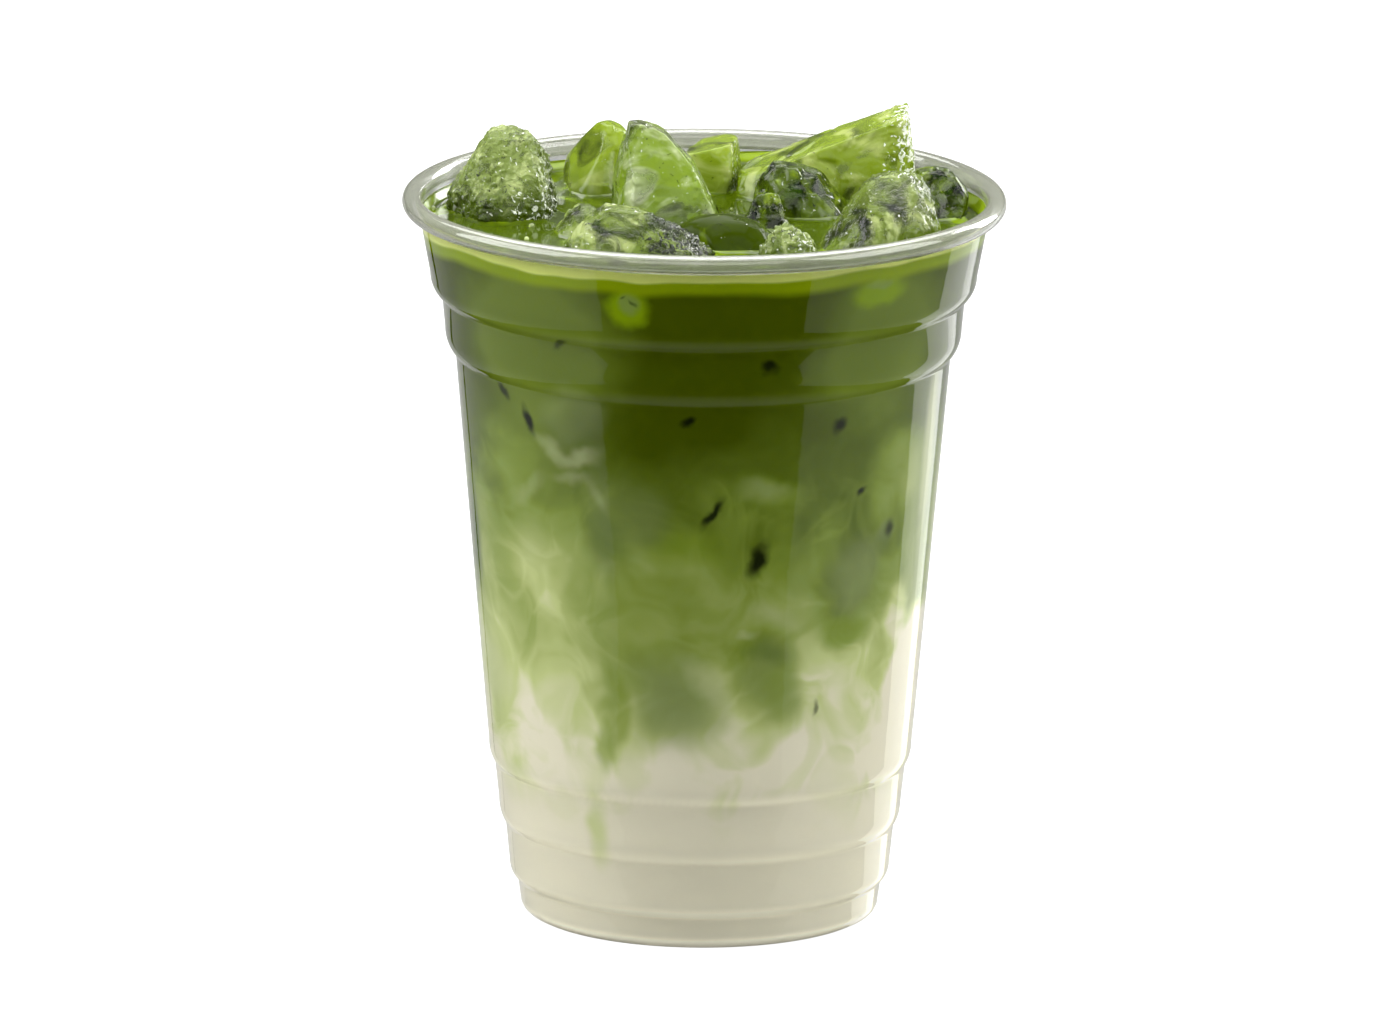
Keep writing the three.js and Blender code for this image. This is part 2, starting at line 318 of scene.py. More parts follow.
@dataclass(frozen=True)
class ClearPlastic:
    """Thin clear thermoformed sheet with faint flow marks, hazy where the rim is curled, with a painted grey
    reflection there.
    """

    tint: Colour = (0.985, 0.99, 0.985, 1.0)
    # Painted reflection: grey mixed into the curled rim stands in for grey surroundings reflected in it and
    # seen through it.
    painted_rim_grey: Colour = srgb(172, 176, 150)
    haze_from: float = 115.9
    haze_to: float = 117.0
    haze_and_grey_share: float = 0.3
    haze_rough: float = 0.3
    haze_through: float = 0.5
    ior: float = 1.5
    smoothest: float = 0.01
    roughest: float = 0.05
    mark_size: float = 9.0
    mark_twist: float = 0.6
    mark_strength: float = 0.12
    mark_depth: float = 0.3

    def material(self) -> bpy.types.Material:
        """Returns the material."""
        material, graph = new_material("clear_plastic")
        place = graph.millimetres()
        marks = graph.noise_value(place, self.mark_size, 3.0, self.mark_twist)
        clear = graph.principled(
            {
                "Base Color": self.tint,
                "Roughness": marks * (self.roughest - self.smoothest) + self.smoothest,
                "IOR": self.ior,
                "Transmission Weight": 1.0,
                "Normal": graph.bump(marks, self.mark_strength, self.mark_depth),
            }
        )
        hazy_painted_grey = graph.principled(
            {
                "Base Color": self.painted_rim_grey,
                "Roughness": self.haze_rough,
                "IOR": self.ior,
                "Transmission Weight": self.haze_through,
            }
        )
        # The rim's rough haze carries the painted grey reflection.
        share = graph.part(place, "Z").smooth(self.haze_from, self.haze_to) * self.haze_and_grey_share
        graph.finish(graph.blend(share, clear, hazy_painted_grey))
        return material


@dataclass(frozen=True)
class Patch:
    """A soft-edged patch in the drink, at the wall or just inside it.

    Attributes:
        x: Sideways place, millimetres.
        z: Height, millimetres.
        across: Half width before the tilt.
        up: Half height before the tilt.
        tilt: Degrees that the patch leans to the right at its top.
        gain: How much matcha it adds, or takes where it is negative.
        core: Share of the patch that has its full strength.
    """

    x: float
    z: float
    across: float
    up: float
    tilt: float = 0.0
    gain: float = 0.0
    core: float = 0.2


@dataclass(frozen=True)
class Tint:
    """Patches of one colour in the drink.

    Attributes:
        colour: Their colour.
        depth: Half depth of the patches into the drink, millimetres.
        ripple: Size of the ripples in their outlines, millimetres.
        sway: Height of those ripples.
        patches: The patches, whose gain is how much of the colour shows.
    """

    colour: Colour
    depth: float
    ripple: float
    sway: float
    patches: tuple[Patch, ...]


@dataclass(frozen=True)
class DrinkFinish:
    """Milk below, matcha above, and the marbling between them, in one pattern for all layers.

    The amount of matcha is worked out from the height, bent by slow noise, with patches where
    streams of milk and matcha hang, where painted light lightens the sides, and where sunken ice lies
    against the wall.
    """

    stops: tuple[tuple[float, Colour], ...] = (
        (0.0, srgb(238, 234, 212)),
        (0.18, srgb(206, 215, 150)),
        (0.38, srgb(168, 182, 102)),
        (0.58, srgb(138, 157, 62)),
        (0.78, srgb(102, 119, 32)),
        (1.0, srgb(77, 91, 4)),
    )
    fade_low: float = 20.0
    fade_high: float = 104.0
    bend_size: float = 24.0
    bend: float = 26.0
    wisp_size: float = 14.0
    wisp: float = 0.24
    thread_size: float = 17.0
    thread_width: float = 0.12
    thread: float = 0.06
    marbled_from: tuple[float, float] = (14.0, 34.0)
    marbled_to: tuple[float, float] = (96.0, 72.0)
    stream_depth: float = 14.0
    stream_ripple: float = 10.0
    stream_sway: float = 9.0
    streams_and_side_light: tuple[Patch, ...] = (
        # The negative patches near the far left and right, from about 70 mm up, are partly milk streams and
        # partly painted light: they lighten the matcha towards the sides, where light comes through the
        # drink's thin edge.
        Patch(-27, 102.0, 22, 18, 0, -0.27, 0.55),
        Patch(29, 102.0, 19, 20, 0, -0.26, 0.45),
        Patch(31.5, 54.0, 5, 7, 0, -0.28, 0.3),
        Patch(-30, 81.8, 15, 12, 18, -0.24),
        Patch(-24, 64.7, 14, 15, 15, -0.15),
        Patch(-37, 61.0, 7, 12, 0, 0.4),
        Patch(-2, 89.2, 15, 9, -20, 0.12),
        Patch(-11, 70.8, 8, 9, -12, 0.12),
        Patch(9.6, 78.5, 7.5, 3.2, 5, -0.16),
        Patch(-6, 66.8, 11, 4.5, 8, -0.13),
        Patch(8, 66.8, 9, 9, 30, 0.1),
        Patch(32, 78.7, 10, 12, 0, -0.3),
        Patch(24.0, 59.6, 8.8, 12.5, 6, 0.22),
        Patch(39, 70.4, 9, 26, 0, -0.5, 0.1),
        Patch(35, 45.0, 16.5, 11, -14, -0.56, 0.45),
        Patch(30, 31.0, 10, 7, 0, -0.2),
        Patch(10.5, 45.4, 8.5, 13, -12, 0.34),
        Patch(-7, 44.0, 12.5, 14, -24, 0.2),
        Patch(-14.4, 38.4, 3.8, 12, 4, 0.24),
        Patch(-17, 20.1, 3.6, 9, -4, 0.14),
        Patch(-31, 30.2, 10, 12, 0, 0.1),
    )
    sunken_ice: Tint = Tint(
        srgb(154, 167, 110),
        depth=9.0,
        ripple=10.0,
        sway=8.0,
        patches=(
            Patch(-21.5, 89.0, 8, 6.6, 0, 0.32, 0.45),
            Patch(-4.0, 42.6, 10.5, 12.5, -26, 0.7),
            Patch(25, 62.0, 8.2, 10.4, 6, 0.6),
            Patch(11.2, 45.0, 6.4, 10, -16, 0.55),
            Patch(-12, 72.9, 8.5, 11, -12, 0.35),
            Patch(29.5, 68.6, 3.6, 4.2, 0, 0.5),
            Patch(10, 78.2, 6, 2.4, 4, 0.5),
        ),
    )
    glows: Tint = Tint(
        srgb(134, 156, 42),
        depth=8.0,
        ripple=8.0,
        sway=5.0,
        patches=(
            Patch(-1.5, 69.0, 9, 4.6, -8, 0.5),
            Patch(23.0, 53.4, 7.6, 3.6, 0, 0.75, 0.3),
            Patch(13, 45.0, 5, 8, -14, 0.35),
            Patch(-15.3, 35.0, 2.4, 7, 4, 0.45),
        ),
    )
    shadows: Tint = Tint(
        srgb(92, 110, 60),
        depth=8.0,
        ripple=7.0,
        sway=4.0,
        patches=(
            Patch(-4.6, 41.4, 8.6, 10.5, -26, 0.16, 0.1),
            Patch(11.0, 51.8, 6.6, 3.8, 18, 0.5, 0.1),
            Patch(-15.8, 69.0, 4.6, 9.0, -8, 0.42, 0.1),
            Patch(29.5, 67.9, 3.0, 3.2, 0, 0.4),
            Patch(-36.6, 65.0, 4.6, 13, 0, 0.9, 0.2),
        ),
    )
    veils: Tint = Tint(
        srgb(208, 214, 164),
        depth=7.0,
        ripple=6.0,
        sway=4.6,
        patches=(
            Patch(-33.5, 43.0, 9.0, 7.0, 24, 0.6, 0.4),
            Patch(1.4, 45.8, 3.0, 10.0, -34, 0.5, 0.0),
            Patch(12.0, 57.6, 7.0, 2.8, 28, 0.42, 0.0),
            Patch(7.3, 54.8, 2.8, 1.2, -8, 0.4, 0.0),
            Patch(-24.0, 83.4, 6.0, 2.2, 30, 0.42, 0.0),
            Patch(-19.6, 82.6, 5.6, 2.2, -16, 0.46, 0.0),
            Patch(-28.0, 76.3, 7.0, 2.2, -38, 0.26, 0.0),
            Patch(-21.0, 79.2, 5.4, 1.9, -4, 0.28, 0.0),
            Patch(-16.8, 76.6, 4.4, 1.8, 58, 0.22, 0.0),
            Patch(-27.5, 66.5, 6.5, 6.5, 14, 0.3, 0.0),
            # Painted light: this pale strip along the right edge stands in for light that comes through the
            # drink's thin edge.
            Patch(36.4, 80.0, 3.4, 22.0, 0, 0.6, 0.3),
        ),
    )
    lime_spots: Tint = Tint(
        srgb(142, 170, 16),
        depth=6.0,
        ripple=3.0,
        sway=2.2,
        patches=(Patch(-12.2, 109.8, 4.6, 4.4, 0, 0.9, 0.45), Patch(28.4, 111.0, 7.2, 3.4, 0, 0.75, 0.4)),
    )
    spot_hearts: Tint = Tint(
        srgb(134, 152, 84),
        depth=4.0,
        ripple=3.0,
        sway=1.4,
        patches=(Patch(-12.0, 110.6, 2.4, 2.6, 0, 0.7, 0.4), Patch(28.4, 112.4, 3.4, 1.3, 0, 0.6, 0.4)),
    )
    # Painted shade: dark slits where the edges of sunken ice and the air gaps beside them look dark through
    # the wall.
    dark_slit_shade: Tint = Tint(
        srgb(18, 24, 10),
        depth=2.0,
        ripple=3.0,
        sway=2.2,
        patches=(
            Patch(-32.1, 91.8, 1.2, 3.0, -44, 0.8),
            Patch(-28.0, 87.8, 1.2, 3.7, -24, 0.95),
            Patch(-2.3, 90.2, 1.9, 0.9, -10, 0.95),
            Patch(22.1, 88.5, 1.6, 2.1, 36, 0.9),
            Patch(25.5, 76.7, 1.5, 0.9, -40, 0.9),
            Patch(1.6, 74.9, 1.2, 4.4, 34, 0.95),
            Patch(9.0, 66.9, 2.2, 4.6, 22, 0.95),
            Patch(30.2, 69.2, 1.7, 2.2, 20, 0.75),
            Patch(10.7, 99.8, 2.1, 1.6, 24, 0.9),
            Patch(-22.8, 102.0, 2.3, 1.0, -30, 0.7),
            Patch(18.6, 41.1, 0.7, 2.0, 8, 0.6),
            Patch(-12.8, 111.3, 0.9, 0.4, -20, 0.55),
            Patch(-11.2, 110.6, 1.0, 0.4, 36, 0.55),
        ),
    )
    surface_colour: Colour = srgb(58, 74, 2)
    swirl_colour: Colour = srgb(112, 136, 8)
    # Painted light: lime band just under the waterline at the wall, for light that bleeds through the
    # drink's thin top edge.
    painted_waterline_light: Colour = srgb(148, 170, 12)
    climb_colour: Colour = srgb(132, 156, 22)
    film_colour: Colour = srgb(230, 239, 138)
    swirl_band: tuple[float, float] = (0.52, 0.7)
    waterline_band: tuple[float, float] = (-2.4, -0.6)
    climb_band: tuple[float, float] = (0.25, 1.1)
    film_band: tuple[float, float] = (0.3, 0.9)
    ior: float = 1.34
    wet_gloss: float = 0.5
    wet_rough: float = 0.04
    wall_rough: float = 0.5
    rough_sway: float = 0.1
    wave_strength: float = 0.2
    wave_depth: float = 0.3
    painted_glow_strength: float = 0.3
    ledge_lean: tuple[float, float] = (-0.1, -0.6)
    level: float = 114.0
    shore_size: float = 17.0
    shore_sway: float = 3.6
    shore_tilt: float = 0.014
    fold: tuple[float, float] = (-2.0, 16.0)
    fold_aside: float = 9.0
    fold_down: float = 11.0

    @property
    def tints(self) -> tuple[Tint, ...]:
        """The tints in the order in which they lie over each other."""
        below = (self.sunken_ice, self.glows, self.shadows, self.veils)
        return (*below, self.lime_spots, self.spot_hearts, self.dark_slit_shade)

    def mask(self, graph: Graph, place: Any, patch: Patch, wall: float, edge: float) -> Value:
        """Returns how far inside a patch a place is.

        Args:
            graph: The material's graph.
            place: Socket with the folded place in millimetres.
            patch: The patch.
            wall: Distance of the patch's middle from the cup's axis.
            edge: Half depth of the patch.

        Returns:
            The patch's gain in its core and 0 outside it.
        """
        depth = math.sqrt(max(wall * wall - patch.x * patch.x, 1.0))
        turn = math.atan2(patch.x, depth)
        inside = graph.node(
            "ShaderNodeMapping",
            {"vector_type": "TEXTURE"},
            {
                "Vector": place,
                "Location": (patch.x, -depth, patch.z),
                "Rotation": (0.0, math.radians(patch.tilt), turn),
                "Scale": (patch.across, edge, patch.up),
            },
        )
        length = graph.node("ShaderNodeVectorMath", {"operation": "LENGTH"}, {0: inside.outputs[0]})
        return graph.value(length.outputs["Value"]).smooth(1.0, patch.core, patch.gain)

    def colour(
        self, graph: Graph, wall: Callable[[float], float], open_surface: bool
    ) -> tuple[Any, Value]:
        """Builds the drink's colour.

        Args:
            graph: The material's graph.
            wall: Radius of the drink at a height.
            open_surface: True for the wet top, which is darker than the painted light of the edge at the
                wall.

        Returns:
            The colour's socket and the fine noise that it uses.
        """
        place = graph.millimetres()
        slow = graph.noise(place, self.bend_size, 2.0, 0.4)
        centred = graph.vector("SUBTRACT", slow.outputs["Color"], (0.5,) * 3)
        bent = graph.vector("MULTIPLY_ADD", centred, (self.bend,) * 3, place)
        height = graph.part(bent, "Z")
        fine = graph.noise_value(bent, self.wisp_size, 2.0, 0.9)
        middle = height.smooth(*self.marbled_from) * height.smooth(*self.marbled_to)
        matcha = height.smooth(self.fade_low, self.fade_high) + (fine - 0.5) * middle * self.wisp * 2
        curl = graph.noise_value(bent, self.thread_size, 3.0, 1.2) - 0.5
        matcha = matcha - curl.math("ABSOLUTE").smooth(self.thread_width, 0.0, self.thread) * middle
        near = self.folded(graph, place)
        folded = self.rippled(graph, place, near, self.stream_ripple, self.stream_sway)
        for patch in self.streams_and_side_light:
            matcha = matcha + self.mask(graph, folded, patch, wall(patch.z), self.stream_depth)
        ramp = graph.node("ShaderNodeValToRGB", {"stops": self.stops}, {0: matcha})
        colour = ramp.outputs["Color"]
        for tint in self.tints:
            folded = self.rippled(graph, place, near, tint.ripple, tint.sway)
            for patch in tint.patches:
                share = self.mask(graph, folded, patch, wall(patch.z), tint.depth)
                colour = graph.mix(share, colour, tint.colour)
        axes = graph.node("ShaderNodeSeparateXYZ", {}, {0: place})
        up = graph.value(axes.outputs["Z"])
        if open_surface:
            swirl = graph.mix(fine.smooth(*self.swirl_band), self.surface_colour, self.swirl_colour)
            wet = graph.mix(self.at_level(up, self.climb_band), swirl, self.climb_colour)
            return graph.mix(self.at_level(up, self.waterline_band), colour, wet), fine
        sway = graph.noise_value(place, self.shore_size, 1.0) - 0.5
        shore = up + sway * self.shore_sway - graph.value(axes.outputs["X"]) * self.shore_tilt
        # Painted light: the lime band under the waterline.
        colour = graph.mix(self.at_level(shore, self.waterline_band), colour, self.painted_waterline_light)
        return graph.mix(self.at_level(shore, self.film_band), colour, self.film_colour), fine

    def at_level(self, height: Value, band: tuple[float, float]) -> Value:
        """Returns a soft step over a band of heights, counted from the drink's level."""
        return height.smooth(self.level + band[0], self.level + band[1])

    def folded(self, graph: Graph, place: Any) -> tuple[Value, Value, Value]:
        """Returns the place with the far half of the cup laid over the near half, moved a little.

        The far wall then carries like patches at other places, without a seam at the sides.

        Args:
            graph: The material's graph.
            place: Socket with the place in millimetres.

        Returns:
            The folded place's three parts.
        """
        parts = graph.node("ShaderNodeSeparateXYZ", {}, {0: place})
        x, y, z = (graph.value(parts.outputs[k]) for k in "XYZ")
        behind = y.smooth(*self.fold)
        return x - behind * self.fold_aside, y.math("ABSOLUTE") * -1.0, z + behind * self.fold_down

    @staticmethod
    def rippled(
        graph: Graph, place: Any, near: tuple[Value, Value, Value], size: float, sway: float
    ) -> bpy.types.NodeSocket:
        """Returns the folded place, moved by ripples that make the patches uneven.

        Args:
            graph: The material's graph.
            place: Socket with the place in millimetres.
            near: The folded place's three parts.
            size: Size of the ripples.
            sway: Height of the ripples.

        Returns:
            The rippled place's socket.
        """
        x, y, z = near
        noise_colour = graph.noise(place, size, 2.0).outputs["Color"]
        ripple = graph.node("ShaderNodeSeparateColor", {}, {0: noise_colour})
        side, rise = (graph.value(ripple.outputs[k]) - 0.5 for k in (0, 1))
        moved = {"X": x + side * sway, "Y": y, "Z": z + rise * sway}
        return graph.node("ShaderNodeCombineXYZ", {}, moved).outputs[0]

    @staticmethod
    def even_normal(graph: Graph) -> bpy.types.NodeSocket:
        """Returns a normal straight out from the axis, as light spreads in the drink past each ledge."""
        place = graph.node("ShaderNodeTexCoord").outputs["Object"]
        return graph.vector("NORMALIZE", graph.vector("MULTIPLY", place, (1.0, 1.0, 0.0)))

    def painted_ledge_glow(self, graph: Graph, colour: Any) -> bpy.types.NodeSocket:
        """Returns a painted glow for the undersides of the ledges, emission that stands in for light spread
        through the drink.
        """
        lean = graph.part(graph.node("ShaderNodeNewGeometry").outputs["Normal"], "Z")
        return graph.mix(lean.smooth(*self.ledge_lean), (0.0, 0.0, 0.0, 1.0), colour)

    def material(self, name: str, wall: Callable[[float], float], open_surface: bool) -> bpy.types.Material:
        """Makes the material.

        Args:
            name: The material's name.
            wall: Radius of the drink at a height.
            open_surface: True for the wet top, False where the drink lies against the wall.

        Returns:
            The material.
        """
        material, graph = new_material(name)
        colour, fine = self.colour(graph, wall, open_surface)
        inputs: dict[int | str, Any] = {
            "Base Color": colour,
            "Roughness": fine * self.rough_sway + (self.wet_rough if open_surface else self.wall_rough),
            "IOR": self.ior,
            "Specular IOR Level": self.wet_gloss if open_surface else 0.0,
        }
        if open_surface:
            inputs["Normal"] = graph.bump(fine, self.wave_strength, self.wave_depth)
        else:
            inputs["Normal"] = self.even_normal(graph)
            # Painted glow: emission on the downward-facing undersides of the ledges stands in for light
            # spread through the drink.
            inputs["Emission Color"] = self.painted_ledge_glow(graph, colour)
            inputs["Emission Strength"] = self.painted_glow_strength
        graph.finish(graph.principled(inputs))
        return material


class IceLook(Enum):
    """How a piece of ice looks: colour, how clear it is, and what its surface is like."""

    CLEAR = "clear"
    STEEPED = "steeped"
    COATED = "coated"
    FROSTED = "frosted"
    STREAKED = "streaked"
    GLAZED = "glazed"


@dataclass(frozen=True)
class IceFinish:
    """Wet ice with a green cast from the drink, clear in places and cloudy in others.

    Attributes:
        look: The look's name.
        foot_colour: Colour at the drink.
        body: Colour of the cloudy ice.
        milky: Colour of the pale clouds in it.
        clear_tint: Colour of the clear ice.
        clouded: About how much of the ice is cloudy, from 0 to 1.
        flecks: How many white and dark flecks it has, from 0 to 1.
        rough: Least roughness of the clear surface.
        grain: Size of the surface's dents, millimetres.
        dent: How strongly the dents bend the light.
        vein_size: Size of the clouds, millimetres.
        painted_edge_highlight: How white the painted highlight on the sharp edges is, from 0 to 1.
        gloss: Strength of the surface's shine, 0.5 for plain ice.
        through: Share of the light that passes the cloudy ice.
        fleck_size: Size of the flecks, millimetres.
        frost_and_glint_white: Colour of the white flecks, which are partly frost and partly painted glints,
            and of the painted edge highlight.
        painted_dark_refraction: Colour of the dark flecks, painted shade for the dark lines that refraction
            makes in the ice.
        fleck_shift: How far the number of flecks moves the fleck noise.
        frost_light: How far a white splinter moves that noise to the white flecks.
        frost_dark: How far a dark splinter moves it to the dark flecks.
        light_band: Where in that noise the white flecks start and are full.
        dark_band: Where in that noise the dark flecks start and are full.
        dark_share: How much of the ice a dark fleck covers.
        milky_band: Where in the cloud noise the pale clouds start and are full.
        cloud_middle: Middle of the step to the cloudy ice, where none is asked for.
        cloud_shift: How far the share of cloudy ice moves that step.
        cloud_soft: Half width of that step.
        highlight_bend: How bent an edge is where its painted highlight starts, and where it is full.
        groove_shade_bend: The same for the grooves, which take the foot's colour as painted shade.
        groove_shade_share: How much of that painted shade the grooves take.
        dent_depth: Depth of the dents, millimetres.
        rough_sway: How much rougher the clear surface is in places.
        cloudy_rough: Least roughness of the cloudy surface.
        cloudy_sway: How much rougher that is in places.
        ior: Refraction of the ice.
        foot: Height at which the foot's colour starts to fade.
        tip: Height at which it has gone.
        foot_sway: How much that height goes up and down, millimetres.
    """

    look: IceLook
    foot_colour: Colour
    body: Colour
    milky: Colour
    clear_tint: Colour
    clouded: float
    flecks: float
    rough: float
    grain: float
    dent: float
    vein_size: float = 3.2
    painted_edge_highlight: float = 0.5
    gloss: float = 0.5
    through: float = 0.3
    fleck_size: float = 0.8
    frost_and_glint_white: Colour = srgb(236, 241, 226)
    painted_dark_refraction: Colour = srgb(16, 24, 4)
    fleck_shift: float = 0.12
    frost_light: float = 0.24
    frost_dark: float = 0.2
    light_band: tuple[float, float] = (0.73, 0.8)
    dark_band: tuple[float, float] = (0.28, 0.22)
    dark_share: float = 0.95
    milky_band: tuple[float, float] = (0.5, 0.66)
    cloud_middle: float = 0.66
    cloud_shift: float = 0.32
    cloud_soft: float = 0.14
    highlight_bend: tuple[float, float] = (0.54, 0.62)
    groove_shade_bend: tuple[float, float] = (0.47, 0.4)
    groove_shade_share: float = 0.6
    dent_depth: float = 0.5
    rough_sway: float = 0.06
    cloudy_rough: float = 0.1
    cloudy_sway: float = 0.2
    ior: float = 1.31
    foot: float = 113.0
    tip: float = 121.0
    foot_sway: float = 8.0

    def material(self) -> bpy.types.Material:
        """Returns the material."""
        material, graph = new_material(f"ice_{self.look.value}")
        place = graph.millimetres()
        vein_colour = graph.noise(place, self.vein_size, 4.0, 1.0).outputs["Color"]
        veins = graph.node("ShaderNodeSeparateColor", {}, {0: vein_colour})
        cloud, milk = (graph.value(veins.outputs[k]) for k in (0, 1))
        dents = graph.noise_value(place, self.grain, 3.0, 0.3)
        frost = graph.value(graph.node("ShaderNodeAttribute", {"attribute_name": FROST}).outputs["Fac"])
        light, dark = self.fleck_masks(graph, place, frost)
        up = graph.part(place, "Z")
        rise = (up + (milk - 0.5) * self.foot_sway).smooth(self.foot, self.tip)
        clouds = graph.mix(milk.smooth(*self.milky_band), self.body, self.milky)
        body = graph.mix(rise, self.foot_colour, clouds)
        # Painted shade and light: dark flecks of painted refraction, then white flecks that are partly frost
        # and partly painted glints.
        body = graph.mix(dark, body, self.painted_dark_refraction)
        body = graph.mix(light, body, self.frost_and_glint_white)
        # Painted highlight on the sharp edges and painted shade in the grooves, by how bent the surface is.
        bend = graph.value(graph.node("ShaderNodeNewGeometry").outputs["Pointiness"])
        painted_crest_highlight = bend.smooth(*self.highlight_bend) * self.painted_edge_highlight
        body = graph.mix(bend.smooth(*self.groove_shade_bend) * self.groove_shade_share, body, self.foot_colour)
        body = graph.mix(painted_crest_highlight, body, self.frost_and_glint_white)
        both = {
            "IOR": self.ior,
            "Specular IOR Level": self.gloss,
            "Normal": graph.bump(dents, self.dent, self.dent_depth),
        }
        clear = graph.principled(
            {
                "Base Color": graph.mix(rise, self.foot_colour, self.clear_tint),
                "Roughness": dents * self.rough_sway + self.rough,
                "Transmission Weight": 1.0,
                **both,
            }
        )
        cloudy = graph.principled(
            {
                "Base Color": body,
                "Roughness": dents * self.cloudy_sway + self.cloudy_rough,
                "Transmission Weight": self.through,
                **both,
            }
        )
        middle = self.cloud_middle - self.cloud_shift * self.clouded
        share = cloud.smooth(middle - self.cloud_soft, middle + self.cloud_soft)
        for mask in (light, dark, painted_crest_highlight):
            share = share.math("MAXIMUM", mask)
        graph.finish(graph.blend(share, clear, cloudy))
        return material

    def fleck_masks(self, graph: Graph, place: Any, frost: Value) -> tuple[Value, Value]:
        """Returns where the white and the dark flecks are.

        Args:
            graph: The material's graph.
            place: Socket with the place in millimetres.
            frost: How white the splinters are, up to 1, or how dark, down to -1.

        Returns:
            The white flecks' and the dark flecks' masks.
        """
        fleck = graph.noise_value(place, self.fleck_size, 2.0, 0.8)
        shift = self.fleck_shift * self.flecks
        light = (fleck + frost * self.frost_light + shift).smooth(*self.light_band)
        dark = (fleck + frost * self.frost_dark - shift).smooth(*self.dark_band)
        return light, dark * self.dark_share


ICE_FINISHES: dict[IceLook, IceFinish] = {
    finish.look: finish
    for finish in (
        IceFinish(
            IceLook.CLEAR,
            foot_colour=srgb(104, 132, 8),
            body=srgb(116, 140, 36),
            milky=srgb(184, 196, 146),
            clear_tint=srgb(190, 210, 122),
            clouded=0.72,
            flecks=0.3,
            rough=0.03,
            grain=2.2,
            dent=0.3,
            vein_size=8.0,
        ),
        IceFinish(
            IceLook.STEEPED,
            foot_colour=srgb(92, 114, 4),
            body=srgb(126, 148, 26),
            milky=srgb(170, 184, 98),
            clear_tint=srgb(168, 192, 60),
            clouded=0.9,
            flecks=0.05,
            rough=0.03,
            grain=2.4,
            dent=0.3,
            vein_size=8.0,
        ),
        IceFinish(
            IceLook.COATED,
            foot_colour=srgb(76, 96, 2),
            body=srgb(66, 84, 2),
            milky=srgb(126, 150, 26),
            clear_tint=srgb(120, 150, 10),
            clouded=0.6,
            flecks=0.3,
            rough=0.02,
            grain=2.0,
            dent=0.3,
            vein_size=4.5,
            painted_edge_highlight=0.35,
            gloss=0.4,
        ),
        IceFinish(
            IceLook.FROSTED,
            foot_colour=srgb(66, 84, 2),
            body=srgb(112, 130, 54),
            milky=srgb(160, 174, 106),
            clear_tint=srgb(180, 198, 120),
            clouded=0.92,
            flecks=0.6,
            rough=0.05,
            grain=0.7,
            dent=0.8,
            vein_size=2.6,
            foot=114.6,
        ),
        IceFinish(
            IceLook.STREAKED,
            foot_colour=srgb(92, 114, 8),
            body=srgb(98, 116, 32),
            milky=srgb(164, 178, 108),
            clear_tint=srgb(174, 196, 98),
            clouded=0.6,
            flecks=0.35,
            rough=0.02,
            grain=0.9,
            dent=0.6,
            vein_size=6.0,
            painted_edge_highlight=0.7,
        ),
        IceFinish(
            IceLook.GLAZED,
            foot_colour=srgb(44, 58, 0),
            body=srgb(42, 54, 0),
            milky=srgb(92, 114, 8),
            clear_tint=srgb(96, 120, 8),
            clouded=1.3,
            flecks=0.05,
            rough=0.02,
            grain=3.0,
            dent=0.12,
            vein_size=7.0,
            painted_edge_highlight=0.15,
            gloss=0.1,
            through=0.0,
        ),
    )
}


def new_piece(name: str, shape: bmesh.types.BMesh, *materials: bpy.types.Material) -> bpy.types.Object:
    """Makes a smooth-shaded object at the origin from a bmesh, and frees the bmesh.

    Args:
        name: The object's name.
        shape: Its shape, in metres.
        *materials: Its material slots.

    Returns:
        The object, linked to the scene.
    """
    mesh = bpy.data.meshes.new(name)
    shape.to_mesh(mesh)
    shape.free()
    for material in materials:
        mesh.materials.append(material)
    mesh.shade_smooth()
    mesh.set_sharp_from_angle(angle=SHARP)
    piece = bpy.data.objects.new(name, mesh)
    bpy.context.scene.collection.objects.link(piece)
    return piece


def applied(piece: bpy.types.Object) -> None:
    """Turns a piece's modifiers into its mesh.

    Args:
        piece: The piece, whose mesh is replaced.
    """
    graph = bpy.context.evaluated_depsgraph_get()
    graph.update()
    old = piece.data
    mesh = bpy.data.meshes.new_from_object(piece.evaluated_get(graph))
    piece.modifiers.clear()
    piece.data = mesh
    mesh.name = piece.name
    bpy.data.meshes.remove(old)


def spun(profile: Sequence[tuple[float, float]], around: int, scale: float = MM) -> bmesh.types.BMesh:
    """Spins a profile about the Z axis.

    Args:
        profile: Radius and height of each point, from one place on the axis to another.
        around: Number of steps of the full turn.
        scale: Size of one unit of the profile, metres.

    Returns:
        The closed shape with its faces outwards.
    """
    shape = bmesh.new()
    points = [shape.verts.new((radius * scale, 0.0, height * scale)) for radius, height in profile]
    edges = [shape.edges.new(pair) for pair in zip(points, points[1:])]
    bmesh.ops.spin(
        shape,
        geom=points + edges,
        cent=(0.0, 0.0, 0.0),
        axis=(0.0, 0.0, 1.0),
        dvec=(0.0, 0.0, 0.0),
        angle=2 * math.pi,
        steps=around,
        use_merge=True,
        use_duplicate=False,
    )
    bmesh.ops.remove_doubles(shape, verts=shape.verts, dist=1e-6 * scale / MM)
    bmesh.ops.recalc_face_normals(shape, faces=shape.faces)
    return shape


def dressed(piece: bpy.types.Object, slot: str, *nodes: str) -> bpy.types.Object:
    """Lets a piece ride on the cup's body in place of its solids.

    Args:
        piece: The finished piece.
        slot: The record's material slot; not used.
        *nodes: The solids that it stands for.

    Returns:
        The piece.
    """
    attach(piece, BODY)
    if nodes:
        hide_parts(*nodes)
    LOG.info("%s: %d faces", piece.name, len(piece.data.polygons))
    return piece


@dataclass(frozen=True)
class Ledge:
    """A stacking ledge: height and radius of its crease, and the step out above it."""

    z: float
    r: float
    out: float
    rise: float


